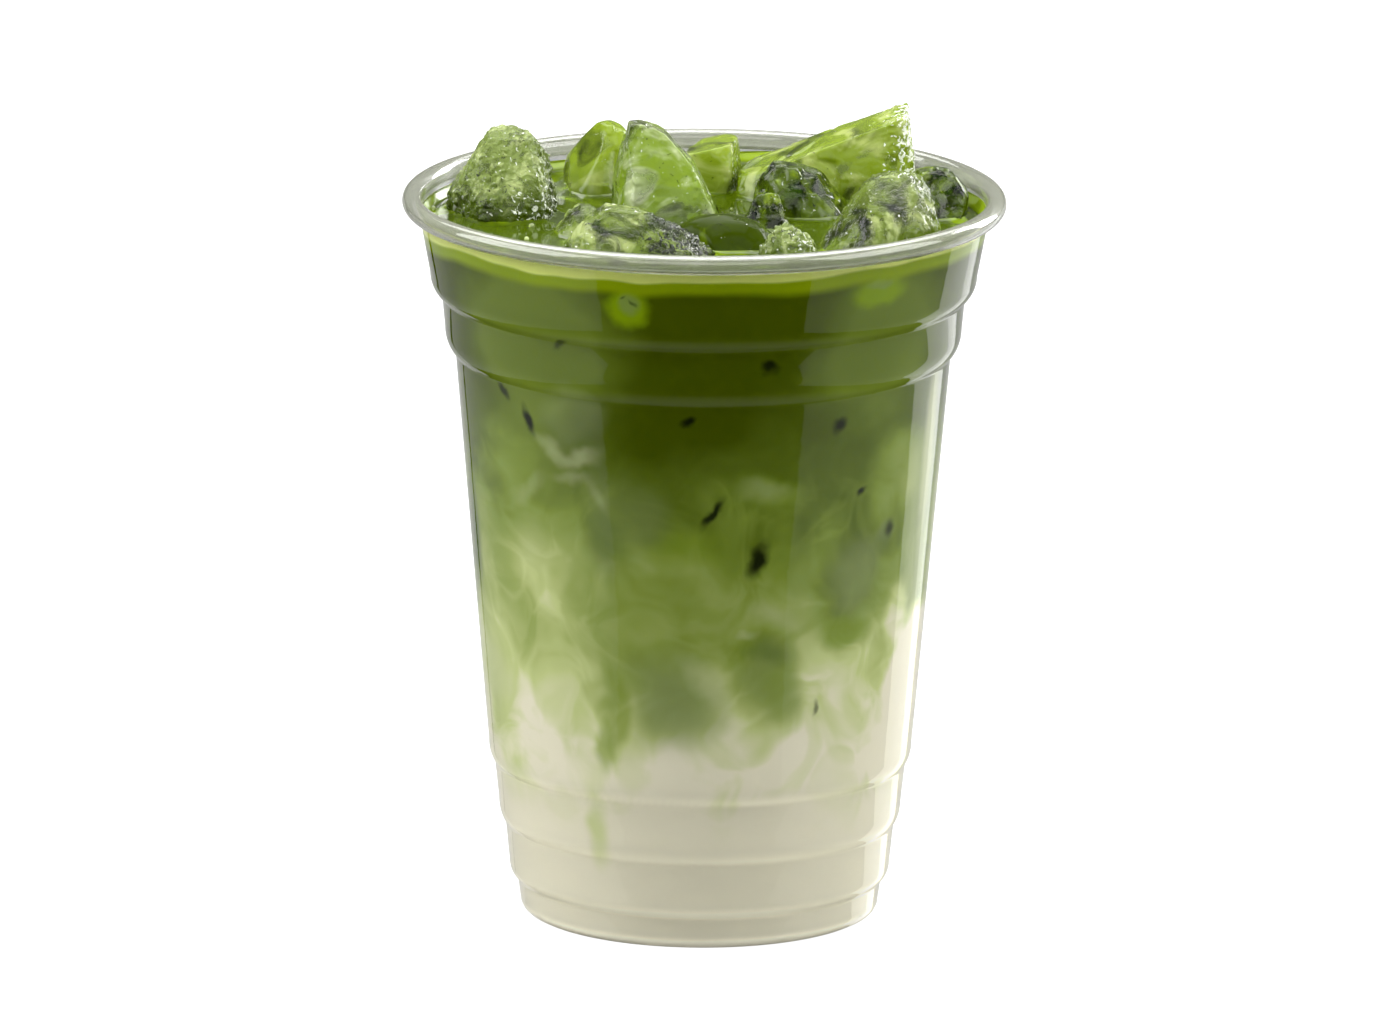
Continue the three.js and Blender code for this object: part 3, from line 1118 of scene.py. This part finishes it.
@dataclass
class Cup:
    """Thin clear cup with stacking ledges, a shallow punt and a rim curled outwards."""

    rim_radius: float = 48.94
    rim_top: float = 119.46
    rim_width: float = 3.2
    rim_depth: float = 3.2
    curl_end: float = -105.0
    wall: float = 0.5
    floor: float = 0.6
    foot_radius: float = 29.1
    foot_round: float = 3.1
    foot_lift: float = 0.7
    foot_ring: float = 20.5
    punt_radius: float = 19.0
    punt_rise: float = 1.4
    neck: float = 116.4
    ledges: tuple[Ledge, ...] = (
        Ledge(5.6, 29.6, 1.3, 2.6),
        Ledge(14.9, 31.6, 1.1, 3.8),
        Ledge(25.0, 33.4, 1.0, 3.6),
        Ledge(93.0, 40.15, 1.75, 4.4),
        Ledge(102.5, 42.4, 1.95, 3.8),
    )
    lift: float = 0.35
    crease: float = 0.3
    crease_shares: tuple[float, float] = (0.12, 0.5)
    above_neck: float = 1.5
    around: int = 160
    finish: ClearPlastic = field(default_factory=ClearPlastic)

    def ledge_line(self, ledge: Ledge, inset: float, steps: int = 7) -> list[tuple[float, float]]:
        """Draws the step of one ledge.

        Args:
            ledge: The ledge.
            inset: Thickness by which the points are moved in.
            steps: Number of lines in the step.

        Returns:
            Radius and height of each point, upwards.
        """
        points = []
        for i in range(steps + 1):
            share = i / steps
            near = 2 * share * (1 - share)
            out = near + share * share
            up = near * self.lift + share * share
            points.append((ledge.r + ledge.out * out - inset, ledge.z + ledge.rise * up))
        return points

    def foot_line(self, inset: float, base: float, steps: int = 6) -> list[tuple[float, float]]:
        """Draws the rounded edge of the foot, from the flat ring up to the wall.

        Args:
            inset: Thickness by which the points are moved in.
            base: Height of the flat ring.
            steps: Number of lines in the edge.

        Returns:
            Radius and height of each point, upwards.
        """
        outer = self.foot_radius - inset
        start = self.foot_radius - self.foot_round
        rise = self.foot_round * self.foot_lift
        points = []
        for i in range(steps + 1):
            share = i / steps
            near = 2 * share * (1 - share)
            reach = near + share * share
            points.append((lerp(start, outer, reach), base + rise * share * share))
        return points

    def wall_line(self, inset: float, base: float, top: float) -> list[tuple[float, float]]:
        """Draws the wall from the foot's ring to a height, with softened creases.

        Args:
            inset: Thickness by which the points are moved in.
            base: Height of the flat ring.
            top: Height of the last point.

        Returns:
            Radius and height of each point, upwards.
        """
        last = self.ledges[-1]
        neck_radius = self.rim_radius - self.rim_width + self.wall
        share = (top - last.z - last.rise) / (self.neck - last.z - last.rise)
        end = (lerp(last.r + last.out, neck_radius, share) - inset, top)
        line = self.foot_line(inset, base)
        for ledge in self.ledges:
            step = self.ledge_line(ledge, inset)
            below = line[-1]
            drop = self.crease / (step[0][1] - below[1])
            line.append((lerp(step[0][0], below[0], drop), step[0][1] - self.crease))
            line.extend(self.softened(step))
        line.append(end)
        return line

    def softened(self, step: list[tuple[float, float]]) -> list[tuple[float, float]]:
        """Rounds off the crease of a ledge.

        Args:
            step: The ledge's points, upwards from its crease.

        Returns:
            The points with two in place of the crease.
        """
        (r0, z0), (r1, z1) = step[0], step[1]
        soft = [(lerp(r0, r1, share), lerp(z0, z1, share)) for share in self.crease_shares]
        return [*soft, *step[1:]]

    def curl(self, inset: float, steps: int = 22) -> list[tuple[float, float]]:
        """Draws the curl of the rim, from the wall over the top to its free edge.

        Args:
            inset: Thickness by which the points are moved in.
            steps: Number of lines in the curl.

        Returns:
            Radius and height of each point.
        """
        middle = (self.rim_radius - self.rim_width / 2, self.rim_top - self.rim_depth / 2)
        points = []
        for i in range(steps + 1):
            angle = math.radians(lerp(180.0, self.curl_end, i / steps))
            along = (self.rim_width / 2 - inset) * math.cos(angle)
            up = (self.rim_depth / 2 - inset) * math.sin(angle)
            points.append((middle[0] + along, middle[1] + up))
        return points

    def inner_radius(self, height: float, reach: float = 0.0) -> float:
        """Measures the wall's inner face.

        Args:
            height: Height above the table.
            reach: How far into the wall the radius goes.

        Returns:
            The radius at that height.
        """
        line = self.inner_line
        k = min(max(bisect_right(line, height, key=itemgetter(1)), 1), len(line) - 1)
        (r0, z0), (r1, z1) = line[k - 1], line[k]
        return lerp(r0, r1, (height - z0) / (z1 - z0)) + reach

    @cached_property
    def inner_line(self) -> list[tuple[float, float]]:
        """The wall's inner face as points with rising heights."""
        return self.wall_line(self.wall, self.floor, self.neck + self.above_neck)

    def floor_height(self, radius: float) -> float:
        """Returns the height of the cup's inner floor at a radius."""
        share = (radius - self.punt_radius) / (self.foot_ring - self.punt_radius)
        return self.floor + self.punt_rise * (1 - min(max(share, 0.0), 1.0))

    def build(self) -> bpy.types.Object:
        """Returns the finished cup."""
        outside = [
            (0.0, self.punt_rise),
            (self.punt_radius - 0.6, self.punt_rise),
            (self.punt_radius, self.punt_rise - 0.15),
            (self.foot_ring - 0.2, 0.15),
            (self.foot_ring + 0.5, 0.0),
            *self.wall_line(0.0, 0.0, self.neck),
            *self.curl(self.wall),
        ]
        inside = [
            (0.0, self.punt_rise + self.floor),
            (self.punt_radius, self.punt_rise + self.floor),
            (self.foot_ring, self.floor),
            *self.wall_line(self.wall, self.floor, self.neck),
            *self.curl(0.0),
        ]
        shape = spun([*outside, *reversed(inside)], self.around)
        piece = new_piece("clear_cup", shape, self.finish.material())
        return dressed(piece, "clear_plastic", "cup")


@dataclass
class Drink:
    """Milk, marbled latte and matcha, which reach just into the cup's wall.

    The layers meet on the same wavy surfaces as their solids.
    """

    cup: Cup
    reach: float = 0.34
    level: float = 114.0
    milk_top: float = 33.15
    milk_rise_to_right: float = 9.0
    milk_swirl: float = 4.0
    matcha_bottom: float = 79.15
    matcha_dip: float = 9.0
    matcha_swirl: float = 3.5
    swirl_pitch: float = 17.0
    film: float = 2.2
    film_width: float = 0.45
    film_waves: tuple[tuple[float, int, float], ...] = ((0.12, 2, 0.7), (0.1, 5, 2.0), (0.06, 11, 0.0))
    around: int = 160
    ring: float = 0.4
    cut_into_ice: float = 0.16
    cut_detail: float = 0.4
    climb: float = 0.55
    climb_width: float = 0.55
    top_drop: float = 0.3
    top_lean: float = 0.35
    shore_lean: float = 0.3
    shore_inset: float = 2.0
    wall_margin: float = 0.12
    wet_depth: float = 20.0
    finish: DrinkFinish = field(default_factory=DrinkFinish)

    def radius(self, height: float) -> float:
        """Returns the drink's radius at a height."""
        return self.cup.inner_radius(height, self.reach)

    def bed(self, x: float, y: float) -> float:
        """Returns the height of the drink's underside."""
        return self.cup.floor_height(math.hypot(x, y)) - self.reach

    def milk_roof(self, x: float, y: float) -> float:
        """Finds where the milk ends: higher on the right, with tongues that hang down.

        Args:
            x: Sideways place.
            y: Place towards the back.

        Returns:
            The height there.
        """
        u, v = x / self.swirl_pitch, y / self.swirl_pitch
        swirl = math.sin(u * 2.3 + v) * math.cos(v * 1.7 - 0.6)
        return self.milk_top + self.milk_rise_to_right * math.tanh(u) + self.milk_swirl * swirl

    def matcha_floor(self, x: float, y: float) -> float:
        """Finds where the unmixed matcha starts: lowest along the middle of the front.

        Args:
            x: Sideways place.
            y: Place towards the back.

        Returns:
            The height there.
        """
        u, v = x / self.swirl_pitch, y / self.swirl_pitch
        dip = math.exp(-u * u) * (1.0 if y < 0 else 0.4)
        swirl = math.sin(u * 1.6 - v * 1.3 + 0.9)
        return self.matcha_bottom - self.matcha_dip * dip + self.matcha_swirl * swirl

    def surface(self, x: float, y: float) -> float:
        """Finds the height of the drink's top, with a film that climbs the wall.

        Args:
            x: Sideways place.
            y: Place towards the back.

        Returns:
            The height there.
        """
        gap = max(self.radius(self.level) - math.hypot(x, y), 0.0)
        angle = math.atan2(y, x)
        waves = sum(high * math.sin(turns * angle + start) for high, turns, start in self.film_waves)
        return self.level + self.film * (1 + waves) * math.exp(-gap / self.film_width)

    def layer(self, low: Height, high: Height, shares: Sequence[float], rise: float) -> bmesh.types.BMesh:
        """Builds one layer between two wavy surfaces.

        Args:
            low: Height of its underside.
            high: Height of its top.
            shares: Radii of the rings on its top and underside, as shares of the wall's radius.
            rise: About how high the layer is.

        Returns:
            The layer's closed shape.
        """
        rings = max(int(rise / self.ring), 4)
        under = [(share, 0.0) for share in shares]
        side = [(1.0, i / rings) for i in range(1, rings)]
        over = [(share, 1.0) for share in reversed(shares)]
        shape = spun([*under, *side, *over], self.around, 1.0)
        for vert in shape.verts:
            share = math.hypot(vert.co.x, vert.co.y)
            angle = math.atan2(vert.co.y, vert.co.x)
            z = lerp(low(0.0, 0.0), high(0.0, 0.0), vert.co.z)
            for _ in range(5):
                r = share * self.radius(z)
                x, y = r * math.cos(angle), r * math.sin(angle)
                z = lerp(low(x, y), high(x, y), vert.co.z)
            vert.co = Vector((x, y, z)) * MM
        bmesh.ops.recalc_face_normals(shape, faces=shape.faces)
        return shape

    def build(self, ice: Sequence[bpy.types.Object]) -> None:
        """Builds the three layers.

        Args:
            ice: The pieces that the matcha closes round.
        """
        against_wall = self.finish.material("layered_drink", self.radius, False)
        open_top = self.finish.material("drink_surface", self.radius, True)
        coarse = [i / 12 for i in range(13)]
        bottom = [*(i / 16 for i in range(16)), 1.0]
        milk = self.layer(self.bed, self.milk_roof, bottom, self.milk_top)
        dressed(new_piece("milk_layer", milk, against_wall), "milk", "milk")
        middle = self.layer(self.milk_roof, self.matcha_floor, coarse, self.matcha_bottom - self.milk_top)
        dressed(new_piece("marbled_layer", middle, against_wall), "marbled_latte", "marbled_latte")
        close = [0.0, *(0.02 + i * 0.0205 for i in range(46)), 0.97, 0.98, 0.986, 0.991, 0.995, 0.998, 1.0]
        upper = self.layer(self.matcha_floor, self.surface, close, self.level - self.matcha_bottom)
        piece = new_piece("matcha_layer", upper, against_wall, open_top)
        self.close_round(piece, ice)
        dressed(piece, "matcha", "matcha")

    def close_round(self, piece: bpy.types.Object, ice: Sequence[bpy.types.Object]) -> None:
        """Cuts the matcha round the ice, with a meniscus at each piece, and gives its top the wet finish.

        Args:
            piece: The matcha.
            ice: The pieces that it closes round.
        """
        cutter_shape = bmesh.new()
        for block in ice:
            single = bmesh.new()
            single.from_mesh(block.data)
            single.normal_update()
            for vert in single.verts:
                vert.co -= vert.normal * self.cut_into_ice * MM
            mesh = bpy.data.meshes.new("cut")
            single.to_mesh(mesh)
            single.free()
            cutter_shape.from_mesh(mesh)
            bpy.data.meshes.remove(mesh)
        cutter = new_piece("ice_room", cutter_shape)
        fewer = cutter.modifiers.new("fewer_faces", "DECIMATE")
        fewer.ratio = self.cut_detail
        cut = piece.modifiers.new("round_the_ice", "BOOLEAN")
        cut.operation = "DIFFERENCE"
        cut.solver = "MANIFOLD"
        cut.object = cutter
        applied(piece)
        bpy.data.objects.remove(cutter)
        self.wet(piece)

    def wet(self, piece: bpy.types.Object) -> None:
        """Raises the matcha's top where it meets the ice, and marks the faces that show from above.

        Args:
            piece: The matcha, cut round the ice.
        """
        shape = bmesh.new()
        shape.from_mesh(piece.data)
        shape.normal_update()
        low = (self.level - self.top_drop) * MM
        tops = {
            vert
            for face in shape.faces
            if face.normal.z > self.top_lean and face.calc_center_median().z > low
            for vert in face.verts
        }
        inner = (self.radius(self.level) - self.shore_inset) * MM
        shore = [
            vert
            for vert in tops
            if vert.co.xy.length < inner and any(f.normal.z < self.shore_lean for f in vert.link_faces)
        ]
        tree = KDTree(max(len(shore), 1))
        for i, vert in enumerate(shore):
            tree.insert((vert.co.x, vert.co.y, 0.0), i)
        tree.balance()
        for vert in tops:
            if shore:
                _, _, distance = tree.find((vert.co.x, vert.co.y, 0.0))
                vert.co.z += self.climb * MM * math.exp(-distance / (self.climb_width * MM))
        shape.normal_update()
        within = {
            vert
            for vert in shape.verts
            if vert.co.xy.length < (self.radius(vert.co.z / MM) - self.wall_margin) * MM
        }
        deepest = (self.level - self.wet_depth) * MM
        for face in shape.faces:
            inside = any(vert in within for vert in face.verts)
            face.material_index = int(inside and face.calc_center_median().z > deepest)
        shape.to_mesh(piece.data)
        shape.free()
        piece.data.shade_smooth()
        piece.data.set_sharp_from_angle(angle=SHARP)


@dataclass(frozen=True)
class IcePiece:
    """One piece of ice: its solid's name, its look and how broken its surface is.

    Attributes:
        node: Name of the solid.
        look: Its look.
        chips: Number of small flats broken off its corners.
        facet: Size of the facets of its surface, millimetres.
        lean: Slope of the facets.
        lump: Height of the broad lumps, millimetres.
        stretch: How much longer the facets are than wide, down the slope.
        splintered: Direction of its splintered end, which is rougher.
        splinter_from: Share of the way to that end where the splinters start.
        splinters: How white the splinters are, up to 1, or how dark, down to -1.
        melted: How many times its surface is smoothed over.
    """

    node: str
    look: IceLook
    chips: int = 8
    facet: float = 2.0
    lean: float = 0.25
    lump: float = 0.5
    stretch: float = 1.0
    splintered: tuple[float, float, float] = (0.0, 0.0, 0.0)
    splinter_from: float = 0.3
    splinters: float = 0.6
    melted: int = 0


@dataclass
class IceHeap:
    """The broken ice that stands out of the drink, with chipped corners and a melted skin."""

    nodes: dict[str, bpy.types.Object]
    voxel: float = 0.3
    soften: int = 1
    lump_size: float = 5.0
    lump_bias: float = 0.35
    patch_size: float = 7.0
    patch_gain: float = 1.6
    patch_middle: float = 0.75
    patch_least: float = 0.25
    splinter: float = 0.8
    splinter_height: float = 0.4
    splinter_fade: float = 0.35
    chip_depth: tuple[float, float] = (0.4, 1.3)
    chip_up: tuple[float, float] = (-0.2, 1.2)
    drift: tuple[float, float, float] = (7.3, 3.1, 5.7)
    pieces: tuple[IcePiece, ...] = (
        IcePiece("ice_left_frosted", IceLook.FROSTED, 7, 0.95, 0.7, 0.3, 1.0, (0.8, -0.4, -0.4), 0.35, 0.45),
        IcePiece("ice_front_left", IceLook.STREAKED, 9, 0.9, 0.5, 0.25, 3.0, (0.9, -0.3, 0.1), 0.0, -1.0),
        IcePiece("ice_front_dark", IceLook.GLAZED, 2, 4.0, 0.05, 0.3, melted=90),
        IcePiece("ice_front_small", IceLook.FROSTED, 8, 1.1, 0.7, 0.25, 1.0, (0.6, -0.2, 0.6), 0.5, 0.3),
        IcePiece("ice_right_front", IceLook.STREAKED, 9, 1.0, 0.4, 0.25, 3.0, (0.8, 0.2, 0.6), 0.5, 0.4),
        IcePiece("ice_middle_small", IceLook.COATED, 7, 2.0, 0.25, 0.3, melted=6),
        IcePiece("ice_middle_dark", IceLook.COATED, 6, 2.4, 0.2, 0.4, melted=14),
        IcePiece("ice_middle_left", IceLook.STREAKED, 6, 1.4, 0.4, 0.5, 2.0),
        IcePiece("ice_centre_tall", IceLook.CLEAR, 8, 2.0, 0.16, 0.2, 1.0, (0.9, 0.0, 0.4), 0.6, 0.2, 5),
        IcePiece("ice_back_left", IceLook.STEEPED, 5, 5.0, 0.06, 0.2, melted=16),
        IcePiece("ice_back_centre", IceLook.STEEPED, 4, 4.0, 0.06, 0.2, 1.0, (1.0, -0.2, 0.0), 0.55, 0.9, 4),
        IcePiece("ice_right_slab", IceLook.STEEPED, 0, 5.0, 0.06, 0.2, 1.0, (1.0, 0.0, 0.1), 0.58, 1.0, 4),
        IcePiece("ice_far_right", IceLook.COATED, 7, 2.2, 0.25, 0.4, melted=6),
        IcePiece("ice_back_right", IceLook.STEEPED, 6, 2.2, 0.3, 0.5, melted=1),
    )

    def build(self) -> list[bpy.types.Object]:
        """Returns the finished pieces."""
        materials = {look: finish.material() for look, finish in ICE_FINISHES.items()}
        return [
            dressed(self.broken(piece, seed, materials[piece.look]), "ice", piece.node)
            for seed, piece in enumerate(self.pieces, start=1)
        ]

    def broken(self, piece: IcePiece, seed: int, material: bpy.types.Material) -> bpy.types.Object:
        """Builds one piece from a copy of its solid.

        Args:
            piece: What the piece is like.
            seed: Number that sets its chips and its relief.
            material: Its material.

        Returns:
            The piece.
        """
        shape = bmesh.new()
        shape.from_mesh(self.nodes[piece.node].data)
        bmesh.ops.remove_doubles(shape, verts=shape.verts, dist=1e-6)
        self.chip(shape, piece.chips, random.Random(seed))
        block = new_piece(piece.node.replace("ice_", "ice_block_"), shape, material)
        remesh = block.modifiers.new("even_faces", "REMESH")
        remesh.mode = "VOXEL"
        remesh.voxel_size = self.voxel * MM
        melt = block.modifiers.new("melted_edges", "SMOOTH")
        melt.iterations = piece.melted
        applied(block)
        block.data.materials.clear()
        block.data.materials.append(material)
        shape = bmesh.new()
        shape.from_mesh(block.data)
        self.relief(shape, piece, seed)
        for _ in range(self.soften):
            bmesh.ops.smooth_vert(
                shape, verts=shape.verts, factor=0.5, use_axis_x=True, use_axis_y=True, use_axis_z=True
            )
        shape.to_mesh(block.data)
        shape.free()
        block.data.shade_smooth()
        return block

    def chip(self, shape: bmesh.types.BMesh, count: int, draw: random.Random) -> None:
        """Breaks small flats off a piece's corners.

        Args:
            shape: The piece's shape.
            count: Number of flats.
            draw: Random numbers.
        """
        for _ in range(count):
            aim = Vector((draw.gauss(0, 1), draw.gauss(0, 1), draw.uniform(*self.chip_up))).normalized()
            reach = max(vert.co.dot(aim) for vert in shape.verts)
            cut = bmesh.ops.bisect_plane(
                shape,
                geom=[*shape.verts, *shape.edges, *shape.faces],
                dist=1e-7,
                plane_co=aim * (reach - draw.uniform(*self.chip_depth) * MM),
                plane_no=aim,
                clear_outer=True,
            )
            rim = [edge for edge in cut["geom_cut"] if isinstance(edge, bmesh.types.BMEdge)]
            bmesh.ops.holes_fill(shape, edges=rim, sides=0)

    def relief(self, shape: bmesh.types.BMesh, piece: IcePiece, seed: int) -> None:
        """Moves a piece's surface by broad lumps, leaning facets and splinters, and marks the splinters.

        Args:
            shape: The piece's shape.
            piece: What the piece is like.
            seed: Number that sets its relief.
        """
        shape.normal_update()
        frost = shape.verts.layers.float.new(FROST)
        corners = [Vector(pick(v.co[k] for v in shape.verts) for k in range(3)) / MM for pick in (min, max)]
        middle = (corners[0] + corners[1]) / 2
        aim = Vector(piece.splintered)
        reach = max(abs(aim.dot((v.co / MM) - middle)) for v in shape.verts) + 1e-6
        drift = Vector([seed * step for step in self.drift])
        for vert in shape.verts:
            place = vert.co / MM
            along = aim.dot(place - middle) / reach - piece.splinter_from
            broken = min(max(along / self.splinter_fade, 0.0), 1.0)
            vert[frost] = broken * piece.splinters
            lump = noise.noise(place / self.lump_size + drift) - self.lump_bias
            patch = noise.noise(place / self.patch_size - drift) * self.patch_gain + self.patch_middle
            patch = min(max(patch, self.patch_least), 1.0)
            spot = Vector((place.x, place.y, place.z / piece.stretch)) / piece.facet + drift
            facet = patch * piece.lean * piece.facet * self.facet_height(spot)
            splinter = broken * self.splinter_height * self.facet_height(place / self.splinter + drift)
            vert.co += vert.normal * (piece.lump * lump + facet + splinter) * MM

    @staticmethod
    def facet_height(spot: Vector) -> float:
        """Measures a surface of small flats that each lean their own way.

        Args:
            spot: The place, in sizes of a flat.

        Returns:
            The height of the flat there.
        """
        middle = noise.voronoi(spot)[1][0]
        lean = noise.cell_vector(middle * SCATTER) * 2.0 - Vector((1.0, 1.0, 1.0))
        return (spot - middle).dot(lean)


@dataclass
class Bubbles:
    """Small bubbles that lie on the drink along the wall and between the ice."""

    drink: Drink
    at_wall: int = 90
    between: int = 70
    smallest: float = 0.16
    largest: float = 0.55
    mostly_small: float = 2.2
    lift: float = 0.25
    wall_gap: float = 0.9
    wall_spread: float = 0.5
    spread: float = 0.97
    ice_gap: float = 0.2
    ice_from: float = 112.0
    away: tuple[float, float, float] = (9.0, 9.0, 9.0)
    lime: Colour = srgb(196, 212, 96)
    pale: Colour = srgb(222, 230, 160)
    seed: int = 11

    def build(self, ice: Sequence[bpy.types.Object]) -> bpy.types.Object:
        """Builds the bubbles as one piece.

        Args:
            ice: The pieces that the bubbles keep clear of.

        Returns:
            The finished piece.
        """
        draw = random.Random(self.seed)
        rings = KDTree(sum(len(block.data.vertices) for block in ice))
        count = 0
        for block in ice:
            for vert in block.data.vertices:
                stands_out = vert.co.z > self.ice_from * MM
                rings.insert((vert.co.x, vert.co.y, 0.0) if stands_out else self.away, count)
                count += 1
        rings.balance()
        shape = bmesh.new()
        wall = self.drink.radius(self.drink.level)
        placed = 0
        while placed < self.at_wall + self.between:
            size = lerp(self.smallest, self.largest, draw.random() ** self.mostly_small)
            angle = draw.uniform(0, 2 * math.pi)
            if placed < self.at_wall:
                r = wall - self.wall_gap - abs(draw.gauss(0, self.wall_spread))
            else:
                r = wall * math.sqrt(draw.random()) * self.spread
            x, y = r * math.cos(angle), r * math.sin(angle)
            _, _, gap = rings.find((x * MM, y * MM, 0.0))
            placed += 1
            if gap < (size + self.ice_gap) * MM:
                continue
            z = self.drink.surface(x, y) + size * self.lift
            spot = Matrix.Translation(Vector((x, y, z)) * MM)
            bmesh.ops.create_icosphere(shape, subdivisions=2, radius=size * MM, matrix=spot)
        pale = self.pale
        finish = IceFinish(IceLook.CLEAR, self.lime, pale, pale, pale, 0.2, 0.0, 0.02, 1.0, 0.1)
        return dressed(new_piece("surface_bubbles", shape, finish.material()), "matcha")


@dataclass
class Studio:
    """Plain pale floor, soft white light all round, and the camera."""

    distance: float = 4000.0
    elevation: float = 13.3
    target_height: float = 66.17
    lens: float = 633.55
    sensor: float = 36.0
    roll: float = 0.43
    sideways: float = -0.32
    floor_size: float = 30.0
    floor_colour: Colour = (0.18, 0.18, 0.18, 1.0)
    floor_glow: float = 1.0
    floor_drop: float = 0.0002
    surround: float = 0.25
    horizon: tuple[float, float] = (-0.04, 0.06)
    under: float = 0.25
    nadir: tuple[float, float] = (-0.7, -1.0)
    farthest: float = 100.0

    def build(self) -> None:
        """Builds the floor, the lights, the surround and the camera."""
        self.build_floor()
        self.build_surround()
        self.softbox("left_softbox", (-1.1, -0.15, 0.75), (1.3, 1.0), 28.0)
        self.softbox("right_softbox", (1.1, -0.25, 0.75), (1.2, 1.0), 22.0)
        self.softbox("back_softbox", (0.0, 1.2, 1.5), (2.0, 1.0), 24.0)
        self.softbox("top_softbox", (0.0, 0.1, 1.6), (1.4, 1.4), 20.0)
        self.softbox("front_fill", (0.0, -1.4, 1.1), (1.8, 1.0), 13.0)
        self.softbox("right_strip", (0.92, 0.97, 0.5), (0.45, 0.85), 14.0)
        self.softbox("left_glow", (-1.18, 0.21, -0.42), (3.1, 0.8), 3.6)
        self.softbox("right_glow", (1.18, 0.21, -0.42), (3.1, 0.8), 3.6)
        self.softbox("right_low_strip", (0.88, 0.97, -0.42), (0.8, 0.8), 2.4)
        self.softbox("back_glow", (0.15, 1.4, -0.4), (1.7, 0.9), 3.0)
        self.build_camera()

    def build_floor(self) -> None:
        """Lays a pale floor that glows a little, so that it stays white."""
        material, graph = new_material("pale_floor")
        cloth = graph.node("ShaderNodeBsdfDiffuse", {}, {"Color": self.floor_colour})
        seen = graph.node("ShaderNodeLightPath").outputs["Is Camera Ray"]
        glow = graph.node("ShaderNodeEmission", {}, {"Strength": graph.value(seen) * self.floor_glow})
        graph.finish(graph.node("ShaderNodeAddShader", {}, {0: cloth.outputs[0], 1: glow.outputs[0]}))
        shape = bmesh.new()
        bmesh.ops.create_grid(shape, x_segments=4, y_segments=4, size=self.floor_size / 2)
        bmesh.ops.translate(shape, verts=shape.verts, vec=(0.0, 0.0, -self.floor_drop))
        floor = new_piece("pale_floor", shape, material)
        floor.visible_glossy = False
        floor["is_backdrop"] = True

    def build_surround(self) -> None:
        """Makes the surround white to the camera, and a dim soft light from above otherwise."""
        world = bpy.data.worlds.new("white_surround")
        bpy.context.scene.world = world
        world.use_nodes = True
        graph = Graph(world.node_tree)
        seen = graph.value(graph.node("ShaderNodeLightPath").outputs["Is Camera Ray"])
        aim = graph.node("ShaderNodeTexCoord").outputs["Generated"]
        up = graph.part(aim, "Z")
        dim = up.smooth(*self.horizon) * self.surround + up.smooth(*self.nadir) * self.under
        sky = graph.node("ShaderNodeBackground", {}, {"Strength": seen.math("MAXIMUM", dim)})
        sky.inputs["Color"].default_value = (1.0, 1.0, 1.0, 1.0)
        graph.node("ShaderNodeOutputWorld", {}, {"Surface": sky.outputs[0]})

    def softbox(
        self, name: str, place: tuple[float, float, float], size: tuple[float, float], power: float
    ) -> None:
        """Hangs a large soft light that faces the cup.

        Args:
            name: The light's name.
            place: Its middle, metres.
            size: Width and height, metres.
            power: Watts.
        """
        light = bpy.data.lights.new(name, "AREA")
        light.shape = "RECTANGLE"
        light.size, light.size_y = size
        light.energy = power
        lamp = bpy.data.objects.new(name, light)
        bpy.context.scene.collection.objects.link(lamp)
        aim = Vector((0.0, 0.0, self.target_height * MM)) - Vector(place)
        lamp.matrix_world = Matrix.Translation(place) @ aim.to_track_quat("-Z", "Y").to_matrix().to_4x4()
        lamp.visible_camera = False

    def build_camera(self) -> None:
        """Sets the camera at the height, distance and lean of the view."""
        data = bpy.data.cameras.new("view")
        data.lens = self.lens
        data.sensor_width = self.sensor
        data.clip_end = self.farthest
        camera = bpy.data.objects.new("view", data)
        bpy.context.scene.collection.objects.link(camera)
        angle = math.radians(self.elevation)
        target = Vector((self.sideways, 0.0, self.target_height)) * MM
        place = target + Vector((0.0, -math.cos(angle), math.sin(angle))) * self.distance * MM
        look = (target - place).to_track_quat("-Z", "Y").to_matrix().to_4x4()
        turn = Matrix.Rotation(math.radians(self.roll), 4, "Z")
        camera.matrix_world = Matrix.Translation(place) @ look @ turn
        bpy.context.scene.camera = camera


def corners(box: Any) -> list[list[float]]:
    """Returns a box's two corners as plain lists."""
    return [[float(c) for c in corner] for corner in box]


def main() -> None:
    """Builds every piece in order."""
    logging.basicConfig(level=logging.INFO, format="%(name)s %(message)s")
    for leftover in list(bpy.data.objects):
        bpy.data.objects.remove(leftover)
    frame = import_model()
    solid_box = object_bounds()
    bpy.context.scene.view_settings.view_transform = "Standard"
    Studio().build()
    cup = Cup()
    cup.build()
    ice = IceHeap(frame["nodes"]).build()
    drink = Drink(cup)
    drink.build(ice)
    Bubbles(drink).build(ice)
    sizes = {"cad": corners(solid_box), "visual": corners(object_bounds())}


if __name__ == "__main__":
    main()
